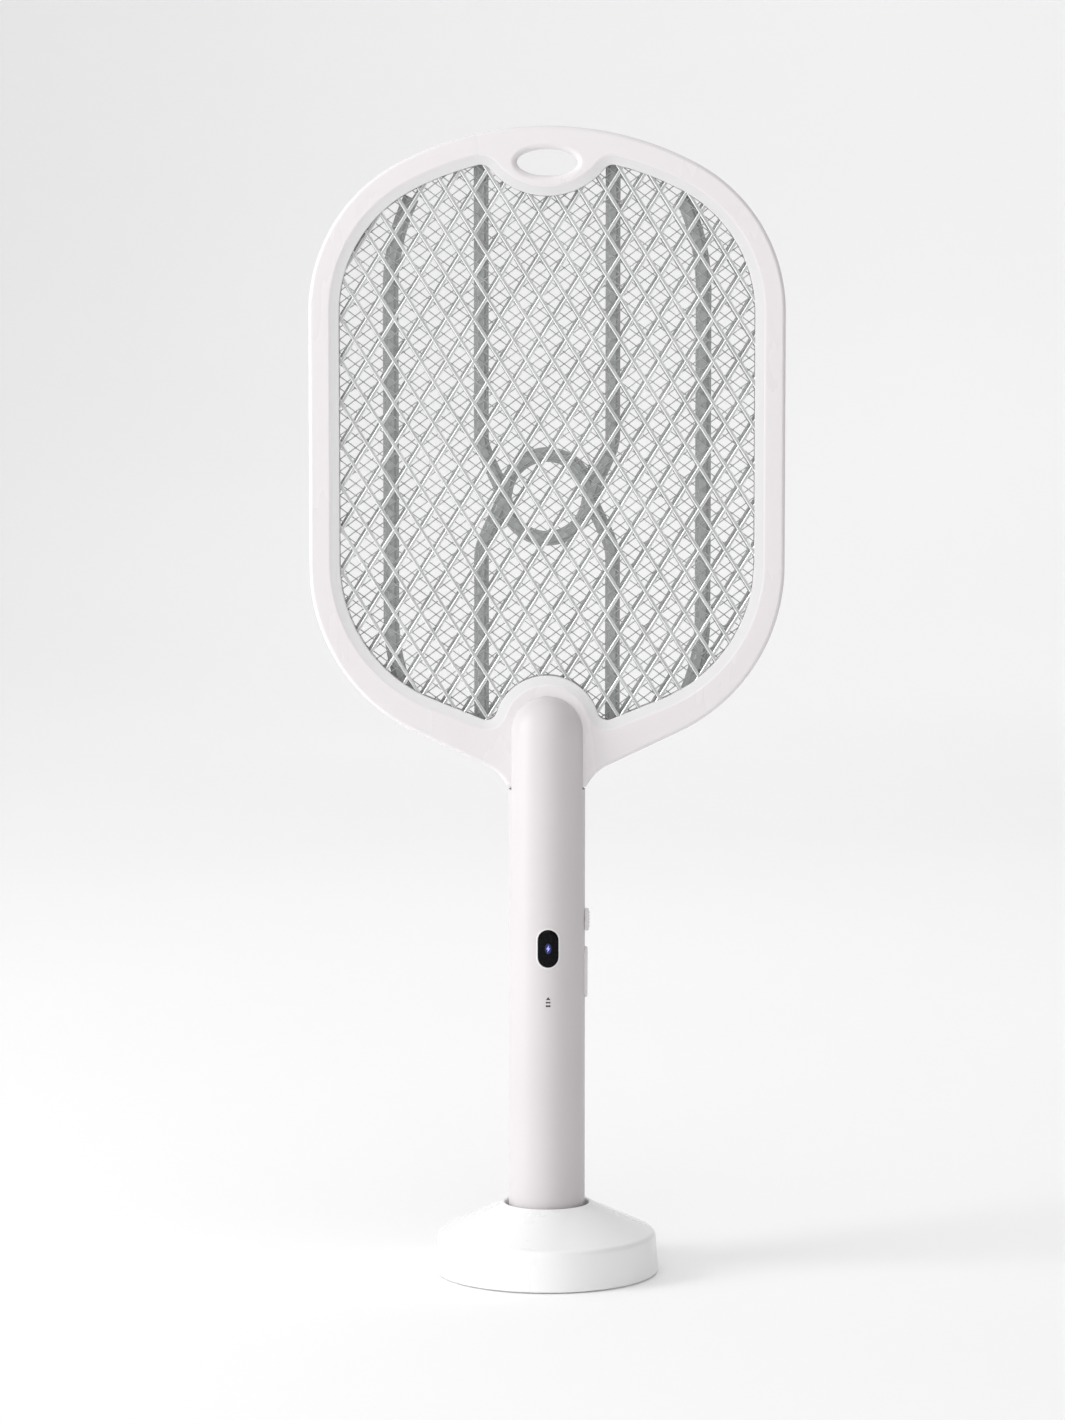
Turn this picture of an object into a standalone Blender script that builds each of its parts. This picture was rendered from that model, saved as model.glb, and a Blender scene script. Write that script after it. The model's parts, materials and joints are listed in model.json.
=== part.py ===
"""An electric fly swatter standing in its charging dock, one named object for each piece.

Metres, +Z up, the dock's underside on z = 0 and the swatter's front facing -Y.
"""

from math import cos, pi, radians, sin, sqrt

import bmesh
import bpy
from mathutils import Matrix, Vector

MM = 0.001
GAP = 0.3 * MM
WELD = 0.0002 * MM

# Driving sizes of the whole object.
TOTAL_HEIGHT = 500 * MM
HEAD_WIDTH = 206 * MM
HANDLE_R = 16.7 * MM
HANDLE_WALL = 2.0 * MM
HANDLE_BOTTOM_Z = 10.6 * MM
HANDLE_TOP_Z = 256.1 * MM
DOCK_R = 49 * MM

# Head: half thickness of the ring and the stack of sheets clamped in it.
FACE_Y = 5.4 * MM
LIP_Y = 4.2 * MM
GUARD_Y = 3.5 * MM
SHEET_T = 0.8 * MM
CARRIER_INNER_Y = 0.7 * MM
CARRIER_OUTER_Y = 2.8 * MM
SHEET_LIP = 0.4 * MM
CARRIER_LIP = 0.2 * MM
TRIM_REACH = 1.6 * MM
RING_WIDTH = 13.2 * MM
BEVEL_WIDTH = 3.8 * MM
POCKET = 3.5 * MM

# Head outline: centres and radii of its arcs.
TOP_R = 138 * MM
CROWN_Z = TOTAL_HEIGHT - TOP_R
CROWN_MEETS = 62.2
SHOULDER_R = 72.4 * MM
SHOULDER_X = HEAD_WIDTH / 2 - SHOULDER_R
SHOULDER_Z = 420 * MM
JOWL_R = 79.7 * MM
JOWL_X = HEAD_WIDTH / 2 - JOWL_R
JOWL_Z = 310.4 * MM
CHIN_SLOPE = 26.0
LOW_CORNER_R = 64 * MM
LOW_CORNER_Z = 312 * MM
CHIN_FILLET = 4.4 * MM
CHIN_CORNER = (26.2 * MM, 248.0 * MM)
CHIN_STEEP = 65.6
NECK_STEEP = 154.0
NECK_Z = 214.6 * MM
NECK_R = 20 * MM
SLOT_BELOW_NECK = 1.4 * MM
TONGUE_HALF = 12 * MM
TONGUE_Z = 195 * MM
ARCH_R = 23 * MM
ARCH_Z = 240 * MM
TAB_R = 32 * MM
TAB_Z = 502 * MM
TAB_FILLET = 5 * MM
TAB_CORNER = (28.47 * MM, 478.37 * MM)
EYE_Z = 484.6 * MM
EYE_HALF_X = 13 * MM
EYE_HALF_Z = 5.8 * MM
CHANNEL_HALF = 8 * MM
CHANNEL_Y = 3.0 * MM
TONGUE_HOLE_R = 3.4 * MM

# Grids: the diamonds stand for the real grids' much finer ones, so each strand is wider too.
GUARD_PITCH_X = 34.5 * MM
GUARD_PITCH_Z = 54.6 * MM
GUARD_STRAND = 3.6 * MM
GRID_PITCH_X = 41.7 * MM
GRID_PITCH_Z = 38.8 * MM
GRID_STRAND = 2.4 * MM

# Ribs behind the inner grid.
RIB_X = 28.5 * MM
RIB_W = 6.6 * MM
RING_Z = 340.5 * MM
RIB_RING_R = 18.2 * MM
RING_MEETS = 8.0
RING_REACH = 26 * MM
SIDE_RIB_X = 67.7 * MM
SIDE_TOP_R = 90 * MM
SIDE_TOP_Z = 430 * MM
SIDE_LOW_R = 80 * MM
SIDE_LOW_Z = 287 * MM

# Controls and window on the handle.
WINDOW_Z = 145 * MM
WINDOW_X = 0.5 * MM
WINDOW_W = 8.5 * MM
WINDOW_H = 16 * MM
SLIDER_Z = 155.8 * MM
SLIDER_H = 9.6 * MM
SLIDER_W = 6.0 * MM
SLIDER_OUT = 2.0 * MM
SLIDER_TRAVEL = 1.5 * MM
SLIDER_STEM_HALF = 1.0 * MM
GROOVE_PITCH = 2.0 * MM
TRIGGER_Z = 132.65 * MM
TRIGGER_H = 22.5 * MM
TRIGGER_W = 7.0 * MM
TRIGGER_OUT = 1.1 * MM
PLUNGER_Y = -1.0 * MM
CAP_TOP_Z = 13.0 * MM
SHELL_BOTTOM_Z = CAP_TOP_Z + GAP

# Inside the handle.
BOARD_Y = 1.5 * MM
BOARD_T = 1.6 * MM
BOARD_LOW_Z = 98 * MM
BOARD_HIGH_Z = 178 * MM
BATTERY_R = 9.2 * MM
BATTERY_LOW_Z = 23.5 * MM
BATTERY_H = 65 * MM
LEAD_R = 0.6 * MM
HANDLE_SCREW_Z = (93.4 * MM, 184 * MM, 203 * MM)
BOSS_STOP = 2.2 * MM

# Dock: heights of its stack of parts.
PAD_T = 1.2 * MM
PLATE_LOW_Z = 1.5 * MM
PLATE_TOP_Z = 4.0 * MM
PLATE_R = 46.0 * MM
WALL_TOP_Z = 18.4 * MM
WALL_TOP_R = 47.8 * MM
DOCK_WALL = 2.2 * MM
HOLE_R = 18.3 * MM
HOLE_TOP_Z = 30.9 * MM
CUP_IN_R = 17.5 * MM
CUP_OUT_R = 19.2 * MM
CUP_FLOOR_Z = 8.5 * MM
CUP_TOP_Z = 25.4 * MM
PIN_X = 6 * MM
DOCK_SCREW_R = 40.5 * MM
INLET_Z = 9.6 * MM

# Fixings.
HEAD_SCREW_INSET = 5.4 * MM
HEAD_SCREW_SIDE_Z = 365 * MM

PLASTIC_WHITE = (0.86, 0.84, 0.85)
PLASTIC_SHADE = (0.80, 0.79, 0.80)
RIB_GREY = (0.42, 0.44, 0.43)
STEEL = (0.62, 0.63, 0.63)
COPPER_GREEN = (0.05, 0.24, 0.12)


def clear_scene():
    for old in list(bpy.data.objects):
        bpy.data.objects.remove(old, do_unlink=True)


def new_collection(name):
    collection = bpy.data.collections.new(name)
    bpy.context.scene.collection.children.link(collection)
    return collection


clear_scene()
PARTS = new_collection("electric_fly_swatter")


# ---- materials ------------------------------------------------------------------------------


def material(name, colour, roughness, metallic=0.0):
    made = bpy.data.materials.new(name)
    made.use_nodes = True
    shader = made.node_tree.nodes["Principled BSDF"]
    shader.inputs["Base Color"].default_value = (*colour, 1.0)
    shader.inputs["Roughness"].default_value = roughness
    shader.inputs["Metallic"].default_value = metallic
    return made


# ---- building blocks ------------------------------------------------------------------------


def mesh_object(name, bm, at=(0, 0, 0)):
    """A new object from a bmesh, with its faces turned outward."""
    bmesh.ops.recalc_face_normals(bm, faces=bm.faces)
    mesh = bpy.data.meshes.new(name)
    bm.to_mesh(mesh)
    bm.free()
    made = bpy.data.objects.new(name, mesh)
    made.location = at
    PARTS.objects.link(made)
    return made


def settle(obj):
    """Turns an object's modifiers or curve into a plain mesh in the same place."""
    bpy.context.view_layer.update()
    graph = bpy.context.evaluated_depsgraph_get()
    mesh = bpy.data.meshes.new_from_object(obj.evaluated_get(graph))
    name = obj.name
    place = obj.matrix_world.copy()
    bpy.data.objects.remove(obj, do_unlink=True)
    bm = bmesh.new()
    bm.from_mesh(mesh)
    bmesh.ops.remove_doubles(bm, verts=bm.verts, dist=WELD)
    made = mesh_object(name, bm)
    made.matrix_world = place
    return made


def boolean(obj, other, operation):
    """Applies one exact Boolean and takes the second object away."""
    step = obj.modifiers.new(operation.lower(), "BOOLEAN")
    step.operation = operation
    step.solver = "EXACT"
    step.object = other
    made = settle(obj)
    bpy.data.objects.remove(other, do_unlink=True)
    return made


def cut(obj, *others):
    for other in others:
        obj = boolean(obj, other, "DIFFERENCE")
    return obj


def join(obj, *others):
    for other in others:
        obj = boolean(obj, other, "UNION")
    return obj


def box(name, low, high, rounding=0.0, segments=2):
    """A box between two corners, its edges rounded if asked; its origin is its middle."""
    low = Vector(low)
    high = Vector(high)
    bm = bmesh.new()
    bmesh.ops.create_cube(bm, size=1.0)
    bmesh.ops.scale(bm, vec=high - low, verts=bm.verts)
    made = mesh_object(name, bm, (low + high) / 2)
    if rounding:
        bevel = made.modifiers.new("rounding", "BEVEL")
        bevel.width = rounding
        bevel.segments = segments
        made = settle(made)
    return made


def rod(name, start, end, radius, sides=16):
    """A closed cylinder between two points."""
    start = Vector(start)
    end = Vector(end)
    along = end - start
    bm = bmesh.new()
    bmesh.ops.create_cone(
        bm, cap_ends=True, segments=sides, radius1=radius, radius2=radius, depth=along.length
    )
    made = mesh_object(name, bm, (start + end) / 2)
    made.rotation_mode = "QUATERNION"
    made.rotation_quaternion = along.to_track_quat("Z", "Y")
    return made


def turned(name, profile, steps=24):
    """A profile of (radius, height) points, bottom to top on its outer side, turned about +Z."""
    bm = bmesh.new()
    points = [bm.verts.new((radius, 0, height)) for radius, height in profile]
    for first, second in zip(points, points[1:]):
        bm.edges.new((first, second))
    if profile[0][0] > 0:
        bm.edges.new((points[-1], points[0]))
    mesh = bpy.data.meshes.new(name)
    bm.to_mesh(mesh)
    bm.free()
    made = bpy.data.objects.new(name, mesh)
    PARTS.objects.link(made)
    screw = made.modifiers.new("turn", "SCREW")
    screw.steps = steps
    screw.render_steps = steps
    screw.use_merge_vertices = True
    screw.merge_threshold = 0.01 * MM
    return settle(made)


def wire(name, route, radius, looks, spacing=9 * MM):
    """A round wire along a smooth curve through a few points."""
    points = smooth_route([Vector(point) for point in route], spacing)
    curve = bpy.data.curves.new(name, "CURVE")
    curve.dimensions = "3D"
    curve.bevel_depth = radius
    curve.bevel_resolution = 2
    curve.use_fill_caps = True
    spline = curve.splines.new("POLY")
    spline.points.add(len(points) - 1)
    for spot, point in zip(spline.points, points):
        spot.co = (*point, 1.0)
    made = bpy.data.objects.new(name, curve)
    PARTS.objects.link(made)
    return finish(settle(made), looks)


def smooth_route(points, spacing):
    """Points read evenly from a Catmull-Rom curve through the given ones."""
    padded = [points[0] * 2 - points[1], *points, points[-1] * 2 - points[-2]]
    found = []
    for index in range(len(points) - 1):
        a, b, c, d = padded[index : index + 4]
        count = max(1, round((c - b).length / spacing))
        for step in range(count):
            t = step / count
            bend = (2 * a - 5 * b + 4 * c - d) * t * t + (3 * b - 3 * c + d - a) * t**3
            found.append(b + ((c - a) * t + bend) / 2)
    found.append(points[-1])
    return found


def arc(centre, radius, start, end, count):
    """Points of an arc in the head's plane, angles in degrees from +X towards +Z."""
    turn = [radians(start + (end - start) * step / count) for step in range(count + 1)]
    return [(centre[0] + radius * cos(a), centre[1] + radius * sin(a)) for a in turn]


def mirrored(right_half):
    """The right half of a closed outline, top to bottom, followed by its mirror image."""
    left_half = [(-x, z) for x, z in reversed(right_half) if abs(x) > 0.01 * MM]
    return right_half + left_half


def inset(outline, distance):
    """The outline moved inward by a distance, each corner kept sharp."""
    pairs = list(zip(outline, outline[1:] + outline[:1]))
    area = sum(a[0] * b[1] - b[0] * a[1] for a, b in pairs)
    side = 1 if area > 0 else -1
    moved = []
    for i, (point, following) in enumerate(pairs):
        before = (Vector(point) - Vector(outline[i - 1])).normalized()
        after = (Vector(following) - Vector(point)).normalized()
        normal = Vector((-before.y - after.y, before.x + after.x)).normalized() * side
        stretch = max(0.4, normal.dot(Vector((-after.y, after.x)) * side))
        moved.append(tuple(Vector(point) + normal * distance / stretch))
    return moved


def loft_plate(name, edges):
    """A flat plate from closed outlines; each edge is its outline and (inset, y) steps, front to back."""
    bm = bmesh.new()
    fronts = []
    backs = []
    for outline, steps in edges:
        rings = [[bm.verts.new((x, y, z)) for x, z in inset(outline, d)] for d, y in steps]
        for ring, following in zip(rings, rings[1:]):
            for i in range(len(ring)):
                bm.faces.new((ring[i - 1], ring[i], following[i], following[i - 1]))
        fronts.append(rings[0])
        backs.append(rings[-1])
    for side in (fronts, backs):
        borders = [bm.edges.get((ring[i - 1], ring[i])) for ring in side for i in range(len(ring))]
        bmesh.ops.triangle_fill(bm, use_beauty=True, edges=borders)
    return mesh_object(name, bm)


def slab(name, outline, distance, low_y, high_y):
    """A flat slab of an outline moved inward by a distance."""
    return loft_plate(name, [(outline, ((distance, low_y), (distance, high_y)))])


def flat_ring(name, outline, outer, inner, low_y, high_y):
    """A flat ring that follows an outline, between two distances outside it."""
    edges = [(outline, ((-reach, low_y), (-reach, high_y))) for reach in (outer, inner)]
    return loft_plate(name, edges)


def stadium(width, height, count=6):
    """A slot's outline with round ends, standing upright about the origin."""
    radius = width / 2
    straight = height / 2 - radius
    upper = arc((0, straight), radius, 0, 180, count)
    lower = arc((0, -straight), radius, 180, 360, count)
    return upper + lower


def lying(outline):
    """The same outline laid on its side."""
    return [(up, across) for across, up in outline]


def prism(name, outline, at, low, high):
    """A straight block of an outline, moved to a point and running from low to high along Y."""
    shape = [(across + at[0], up + at[2]) for across, up in outline]
    return slab(name, shape, 0, low, high)


def to_right(obj):
    """Turns a shape made to face the front, so that it faces the right side."""
    obj.data.transform(Matrix.Rotation(radians(90), 4, "Z"))
    return obj


def set_origin(obj, point):
    """Moves an object's origin to a point without moving its shape."""
    bpy.context.view_layer.update()
    inverse = Matrix.Translation(-Vector(point)) @ obj.matrix_world
    obj.data.transform(inverse)
    obj.matrix_world = Matrix.Translation(point)


def finish(obj, looks, edge_angle=35):
    """Gives an object its material and its smooth shading."""
    obj.data.materials.clear()
    obj.data.materials.append(looks)
    obj.data.polygons.foreach_set("use_smooth", [True] * len(obj.data.polygons))
    obj.data.set_sharp_from_angle(angle=radians(edge_angle))
    return obj


# ---- the head's outlines --------------------------------------------------------------------


def head_outline():
    """Outer edge of the head ring, from the crown down to the tongue inside the handle."""
    half = arc((0, CROWN_Z), TOP_R, 90, CROWN_MEETS, 6)
    half += arc((SHOULDER_X, SHOULDER_Z), SHOULDER_R, CROWN_MEETS - 7, 0, 8)
    half += arc((JOWL_X, JOWL_Z), JOWL_R, 0, CHIN_SLOPE - 90, 8)
    neck_x = HANDLE_R + 0.6 * MM
    corner_x = neck_x + NECK_R * cos(radians(180 - NECK_STEEP))
    corner_z = NECK_Z - NECK_R * sin(radians(180 - NECK_STEEP))
    half += arc((corner_x, corner_z), NECK_R, 90 + CHIN_SLOPE, NECK_STEEP, 3)
    half += [(HANDLE_R - HANDLE_WALL - 0.4 * MM, NECK_Z - 0.8 * MM)]
    half += [(TONGUE_HALF, NECK_Z - 2 * MM), (TONGUE_HALF, TONGUE_Z)]
    return mirrored(half)


def window_outline():
    """Inner edge of the head ring, with the tab round the hanging eye and the arch over the handle."""
    crown_r = TOP_R - RING_WIDTH
    half_width = HEAD_WIDTH / 2 - RING_WIDTH
    half = arc((0, TAB_Z), TAB_R, -90, -39.7, 4)
    half += arc(TAB_CORNER, TAB_FILLET, 125, 80, 2)
    half += arc((0, CROWN_Z), crown_r, 74, CROWN_MEETS, 2)
    half += arc((SHOULDER_X, SHOULDER_Z), SHOULDER_R - RING_WIDTH, CROWN_MEETS - 9, 0, 6)
    half += arc((half_width - LOW_CORNER_R, LOW_CORNER_Z), LOW_CORNER_R, 0, -CHIN_STEEP, 6)
    half += arc(CHIN_CORNER, CHIN_FILLET, -CHIN_STEEP, -163.1, 4)
    half += arc((0, ARCH_Z), ARCH_R, 27, 90, 4)
    return mirrored(half)


def eye_outline():
    """The hanging eye, a flat ellipse."""
    turn = [2 * pi * step / 18 for step in range(18)]
    return [(EYE_HALF_X * cos(a), EYE_Z + EYE_HALF_Z * sin(a)) for a in turn]


# ---- head -----------------------------------------------------------------------------------


def ring_edges(side):
    """Edges of one half of the head ring; side is -1 for the front half and 1 for the rear half."""
    outer = [
        (2.4 * MM, side * FACE_Y),
        (1.2 * MM, side * (FACE_Y - 0.4 * MM)),
        (0.35 * MM, side * (FACE_Y - 1.2 * MM)),
        (0.0, side * (FACE_Y - 2.4 * MM)),
        (0.0, side * GAP / 2),
    ]
    window = [
        (-BEVEL_WIDTH, side * FACE_Y),
        (0.0, side * (LIP_Y + 0.4 * MM)),
        (0.0, side * LIP_Y),
        (-POCKET, side * LIP_Y),
        (-POCKET, side * GAP / 2),
    ]
    eye = [(-1.8 * MM, side * FACE_Y), (0.0, side * (FACE_Y - 1.6 * MM)), (0.0, side * GAP / 2)]
    return [(head_outline(), outer), (window_outline(), window), (eye_outline(), eye)]


def head_frame(name, side):
    """One half of the head ring, with the channel that takes the leads up to the grids."""
    frame = loft_plate(name, ring_edges(side))
    channel_top = ARCH_Z + ARCH_R - POCKET + 1 * MM
    inner = -side * 1 * MM
    outer = side * (CHANNEL_Y + 1 * MM)
    low = (-CHANNEL_HALF, min(inner, outer), TONGUE_Z - 5 * MM)
    high = (CHANNEL_HALF, max(inner, outer), channel_top)
    screw_z = HANDLE_SCREW_Z[2]
    way = rod("tongue_hole", (0, -9 * MM, screw_z), (0, 9 * MM, screw_z), TONGUE_HOLE_R)
    return cut(frame, box("channel", low, high), way)


def screw_spots():
    """Six spots round the head ring: both shoulders, both sides and both jowls."""
    shoulder_r = SHOULDER_R - HEAD_SCREW_INSET
    jowl_r = JOWL_R - HEAD_SCREW_INSET
    right = [
        (SHOULDER_X + shoulder_r * cos(radians(45)), SHOULDER_Z + shoulder_r * sin(radians(45))),
        (HEAD_WIDTH / 2 - HEAD_SCREW_INSET, HEAD_SCREW_SIDE_Z),
        (JOWL_X + jowl_r * cos(radians(50)), JOWL_Z - jowl_r * sin(radians(50))),
    ]
    return [(x * way, z) for x, z in right for way in (1, -1)]


def head_front_frame(looks):
    frame = head_frame("head_front_frame", -1)
    for x, z in screw_spots():
        frame = cut(frame, rod("pilot", (x, 1 * MM, z), (x, -4.3 * MM, z), 1.1 * MM, 10))
    return finish(frame, looks)


def head_rear_frame(looks):
    frame = head_frame("head_rear_frame", 1)
    for x, z in screw_spots():
        way = rod("way", (x, -1 * MM, z), (x, 9 * MM, z), 1.35 * MM)
        seat = rod("seat", (x, FACE_Y - 2 * MM, z), (x, 8 * MM, z), 2.45 * MM)
        frame = cut(frame, join(way, seat))
    return finish(frame, looks)


def lattice(name, y, pitch_x, pitch_z, strand):
    """A sheet of crossing diagonal strands inside a rim that the ring clamps."""
    low_y = y - SHEET_T / 2
    high_y = y + SHEET_T / 2
    rim = flat_ring(name, window_outline(), POCKET - GAP, SHEET_LIP, low_y, high_y)
    strands = trimmed(diagonal_strands("strands", y, pitch_x, pitch_z, strand), y)
    return join(rim, strands)


def trimmed(obj, y):
    """What lies inside the window and just past its edge, so that it runs into its rim."""
    edge = slab("edge", window_outline(), -TRIM_REACH, y - 3 * MM, y + 3 * MM)
    return boolean(obj, edge, "INTERSECT")


def diagonal_strands(name, y, pitch_x, pitch_z, strand):
    """A flat diamond grid over the whole head: a block pierced by rows of diamond holes."""
    slope = pitch_z / pitch_x
    half_x = pitch_x / 2 - strand * sqrt(1 + slope * slope) / (2 * slope)
    half_z = half_x * slope
    right = HEAD_WIDTH / 2 + pitch_x / 2
    bottom = TONGUE_Z
    top = TOTAL_HEIGHT + 10 * MM
    outlines = [[(-right, bottom), (right, bottom), (right, top), (-right, top)]]
    for row in range(1, int((top - bottom) / (pitch_z / 2)) + 1):
        middle_z = bottom + row * pitch_z / 2
        shift = 0.25 if row % 2 else 0.75
        reach = int(right / pitch_x) + 1
        for column in range(-reach, reach + 1):
            middle_x = (column + shift) * pitch_x
            inside_x = abs(middle_x) < right - half_x - strand
            inside_z = bottom + half_z + strand < middle_z < top - half_z - strand
            if inside_x and inside_z:
                outlines.append(diamond(middle_x, middle_z, half_x, half_z))
    edges = [(outline, ((0, y - SHEET_T / 2), (0, y + SHEET_T / 2))) for outline in outlines]
    return loft_plate(name, edges)


def diamond(x, z, half_x, half_z):
    return [(x + half_x, z), (x, z + half_z), (x - half_x, z), (x, z - half_z)]


def guard_mesh(name, side, looks):
    """The coarse outer grid that keeps fingers off the live one."""
    made = lattice(name, side * GUARD_Y, GUARD_PITCH_X, GUARD_PITCH_Z, GUARD_STRAND)
    return finish(made, looks)


def high_voltage_mesh(looks):
    """The live inner grid."""
    made = lattice("high_voltage_mesh", 0, GRID_PITCH_X, GRID_PITCH_Z, GRID_STRAND)
    return finish(made, looks)


def carrier_ring(name, side):
    """A flat ring in the pocket that keeps two sheets apart."""
    low_y, high_y = sorted((side * CARRIER_INNER_Y, side * CARRIER_OUTER_Y))
    return flat_ring(name, window_outline(), POCKET - GAP, CARRIER_LIP, low_y, high_y)


def mesh_spacer(looks):
    """The plain ring between the front guard and the live grid."""
    return finish(carrier_ring("mesh_spacer", -1), looks)


def strip(name, path):
    """A rib of constant width along an open path in the head's plane."""
    left = []
    right = []
    for i, point in enumerate(path):
        before = Vector(path[max(i - 1, 0)])
        after = Vector(path[min(i + 1, len(path) - 1)])
        along = (after - before).normalized()
        normal = Vector((-along.y, along.x)) * RIB_W / 2
        left.append(tuple(Vector(point) + normal))
        right.append(tuple(Vector(point) - normal))
    return slab(name, left + right[::-1], 0, CARRIER_INNER_Y, CARRIER_OUTER_Y)


def loop_rib(way, far_z):
    """The line of a U-shaped rib, its closed end half of the middle ring; way is 1 for the upper one."""
    meet_x = RIB_RING_R * cos(radians(RING_MEETS))
    meet_up = -RIB_RING_R * sin(radians(RING_MEETS))
    right = [(RIB_X, way * (far_z - RING_Z)), (RIB_X, RING_REACH)]
    for step in range(1, 5):
        t = step / 5
        x = RIB_X + (meet_x - RIB_X) * (3 * t**2 - 2 * t**3)
        right.append((x, RING_REACH + (meet_up - RING_REACH) * t))
    right += arc((0, 0), RIB_RING_R, -RING_MEETS, -90, 5)
    path = right + [(-x, up) for x, up in reversed(right[:-1])]
    return [(x, RING_Z + way * up) for x, up in path]


def side_rib(way):
    """The line of an outer rib, leaning in at both ends."""
    top = arc((SIDE_RIB_X - SIDE_TOP_R, SIDE_TOP_Z), SIDE_TOP_R, 29, 0, 3)
    bottom = arc((SIDE_RIB_X - SIDE_LOW_R, SIDE_LOW_Z), SIDE_LOW_R, 0, -27, 3)
    return [(way * x, z) for x, z in top + bottom]


def rib_frame(looks):
    """The moulded carrier behind the live grid: a ring, two interlocked loops and two outer ribs."""
    middle_y = (CARRIER_INNER_Y + CARRIER_OUTER_Y) / 2
    upper = strip("upper_loop", loop_rib(1, 485.5 * MM))
    lower = strip("lower_loop", loop_rib(-1, 242.6 * MM))
    loops = trimmed(join(upper, lower), middle_y)
    sides = [trimmed(strip("side_rib", side_rib(way)), middle_y) for way in (-1, 1)]
    return finish(join(carrier_ring("rib_frame", 1), loops, *sides), looks)


def screw(name, profile, at, looks):
    """A screw that points towards the front; its profile starts at the tip."""
    made = turned(name, profile, steps=12)
    made.data.transform(Matrix.Rotation(radians(-90), 4, "X"))
    made.location = at
    return finish(made, looks)


def head_screw(index, x, z, looks):
    """A self-tapping screw from the rear of the head."""
    profile = (
        (0.0, -7.8 * MM),
        (0.9 * MM, -7.2 * MM),
        (0.9 * MM, -1.6 * MM),
        (2.2 * MM, -1.6 * MM),
        (2.2 * MM, -0.4 * MM),
        (1.6 * MM, 0.0),
        (0.0, 0.0),
    )
    return screw(f"head_screw_{index}", profile, (x, FACE_Y - 0.2 * MM, z), looks)


# ---- handle ---------------------------------------------------------------------------------


def handle_bar(name, shrink):
    """A round bar with a domed top, smaller all round by the shrink."""
    radius = HANDLE_R - shrink
    dome_z = HANDLE_TOP_Z - HANDLE_R
    low = SHELL_BOTTOM_Z - 2 * shrink
    dome = arc((0, dome_z), radius, 0, 90, 7)
    profile = [(0.0, low), (radius, low), *dome[:-1], (0.0, dome_z + radius)]
    return turned(name, profile, steps=40)


def half_space(name, y, side, low_z):
    """A big block on one side of a plane that faces along Y."""
    far = 30 * MM
    near_y, far_y = sorted((y, side * far))
    return box(name, (-far, near_y, low_z), (far, far_y, HANDLE_TOP_Z + far))


def handle_half(name, side):
    """One half of the handle shell; side is -1 for the front half."""
    shell = cut(handle_bar(name, 0.0), handle_bar("hollow", HANDLE_WALL))
    other_half = half_space("other_half", side * GAP / 2, -side, 0.0)
    head_slot = half_space("head_slot", side * (FACE_Y + GAP), -side, NECK_Z - SLOT_BELOW_NECK)
    half_slot = SLIDER_STEM_HALF + SLIDER_TRAVEL + 0.5 * MM
    low = (12 * MM, -1.5 * MM, SLIDER_Z - half_slot)
    high = (20 * MM, 1.5 * MM, SLIDER_Z + half_slot)
    opening = stadium(TRIGGER_W + 2 * GAP, TRIGGER_H + 2 * GAP)
    trigger_slot = to_right(prism("trigger_slot", opening, (0, 0, TRIGGER_Z), -20 * MM, -12 * MM))
    return cut(shell, other_half, head_slot, box("slider_slot", low, high), trigger_slot)


def front_boss(z):
    """A screw boss on the front half, just short of the parting plane."""
    return rod("boss", (0, HANDLE_WALL / 2 - HANDLE_R, z), (0, -BOSS_STOP, z), 2.7 * MM, 12)


def rear_boss(z):
    """A wider boss on the rear half, with room for a sunk screw head."""
    return rod("boss", (0, BOSS_STOP, z), (0, HANDLE_R - HANDLE_WALL / 2, z), 3.9 * MM, 14)


def handle_front_shell(looks):
    """The front half, with the window hole and the two lower screw bosses."""
    shell = handle_half("handle_front_shell", -1)
    opening = stadium(WINDOW_W + 2 * GAP, WINDOW_H + 2 * GAP, 8)
    shell = cut(shell, prism("window_hole", opening, (WINDOW_X, 0, WINDOW_Z), -20 * MM, -12 * MM))
    for z in HANDLE_SCREW_Z[:2]:
        shell = join(shell, front_boss(z))
        shell = cut(shell, rod("pilot", (0, -12 * MM, z), (0, 1 * MM, z), 1.15 * MM, 10))
    return finish(shell, looks)


def handle_rear_shell(looks):
    """The rear half, with sunk seats for the screws; the highest one goes through the head's tongue."""
    shell = handle_half("handle_rear_shell", 1)
    for z in HANDLE_SCREW_Z[:2]:
        shell = join(shell, rear_boss(z))
        shell = cut(shell, rod("pass", (0, 0, z), (0, 20 * MM, z), 1.5 * MM, 10))
        shell = cut(shell, rod("seat", (0, 9 * MM, z), (0, 20 * MM, z), 3.0 * MM))
    z = HANDLE_SCREW_Z[2]
    return finish(cut(shell, rod("pass", (0, 0, z), (0, 20 * MM, z), 3.0 * MM)), looks)


def handle_screw(index, z, looks):
    """A long screw through the rear half into the front one."""
    profile = (
        (0.0, -17.6 * MM),
        (1.0 * MM, -16.9 * MM),
        (1.0 * MM, -1.9 * MM),
        (2.7 * MM, -1.9 * MM),
        (2.7 * MM, -0.6 * MM),
        (1.9 * MM, 0.0),
        (0.0, 0.0),
    )
    return screw(f"handle_screw_{index}", profile, (0, 11.2 * MM, z), looks)


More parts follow.
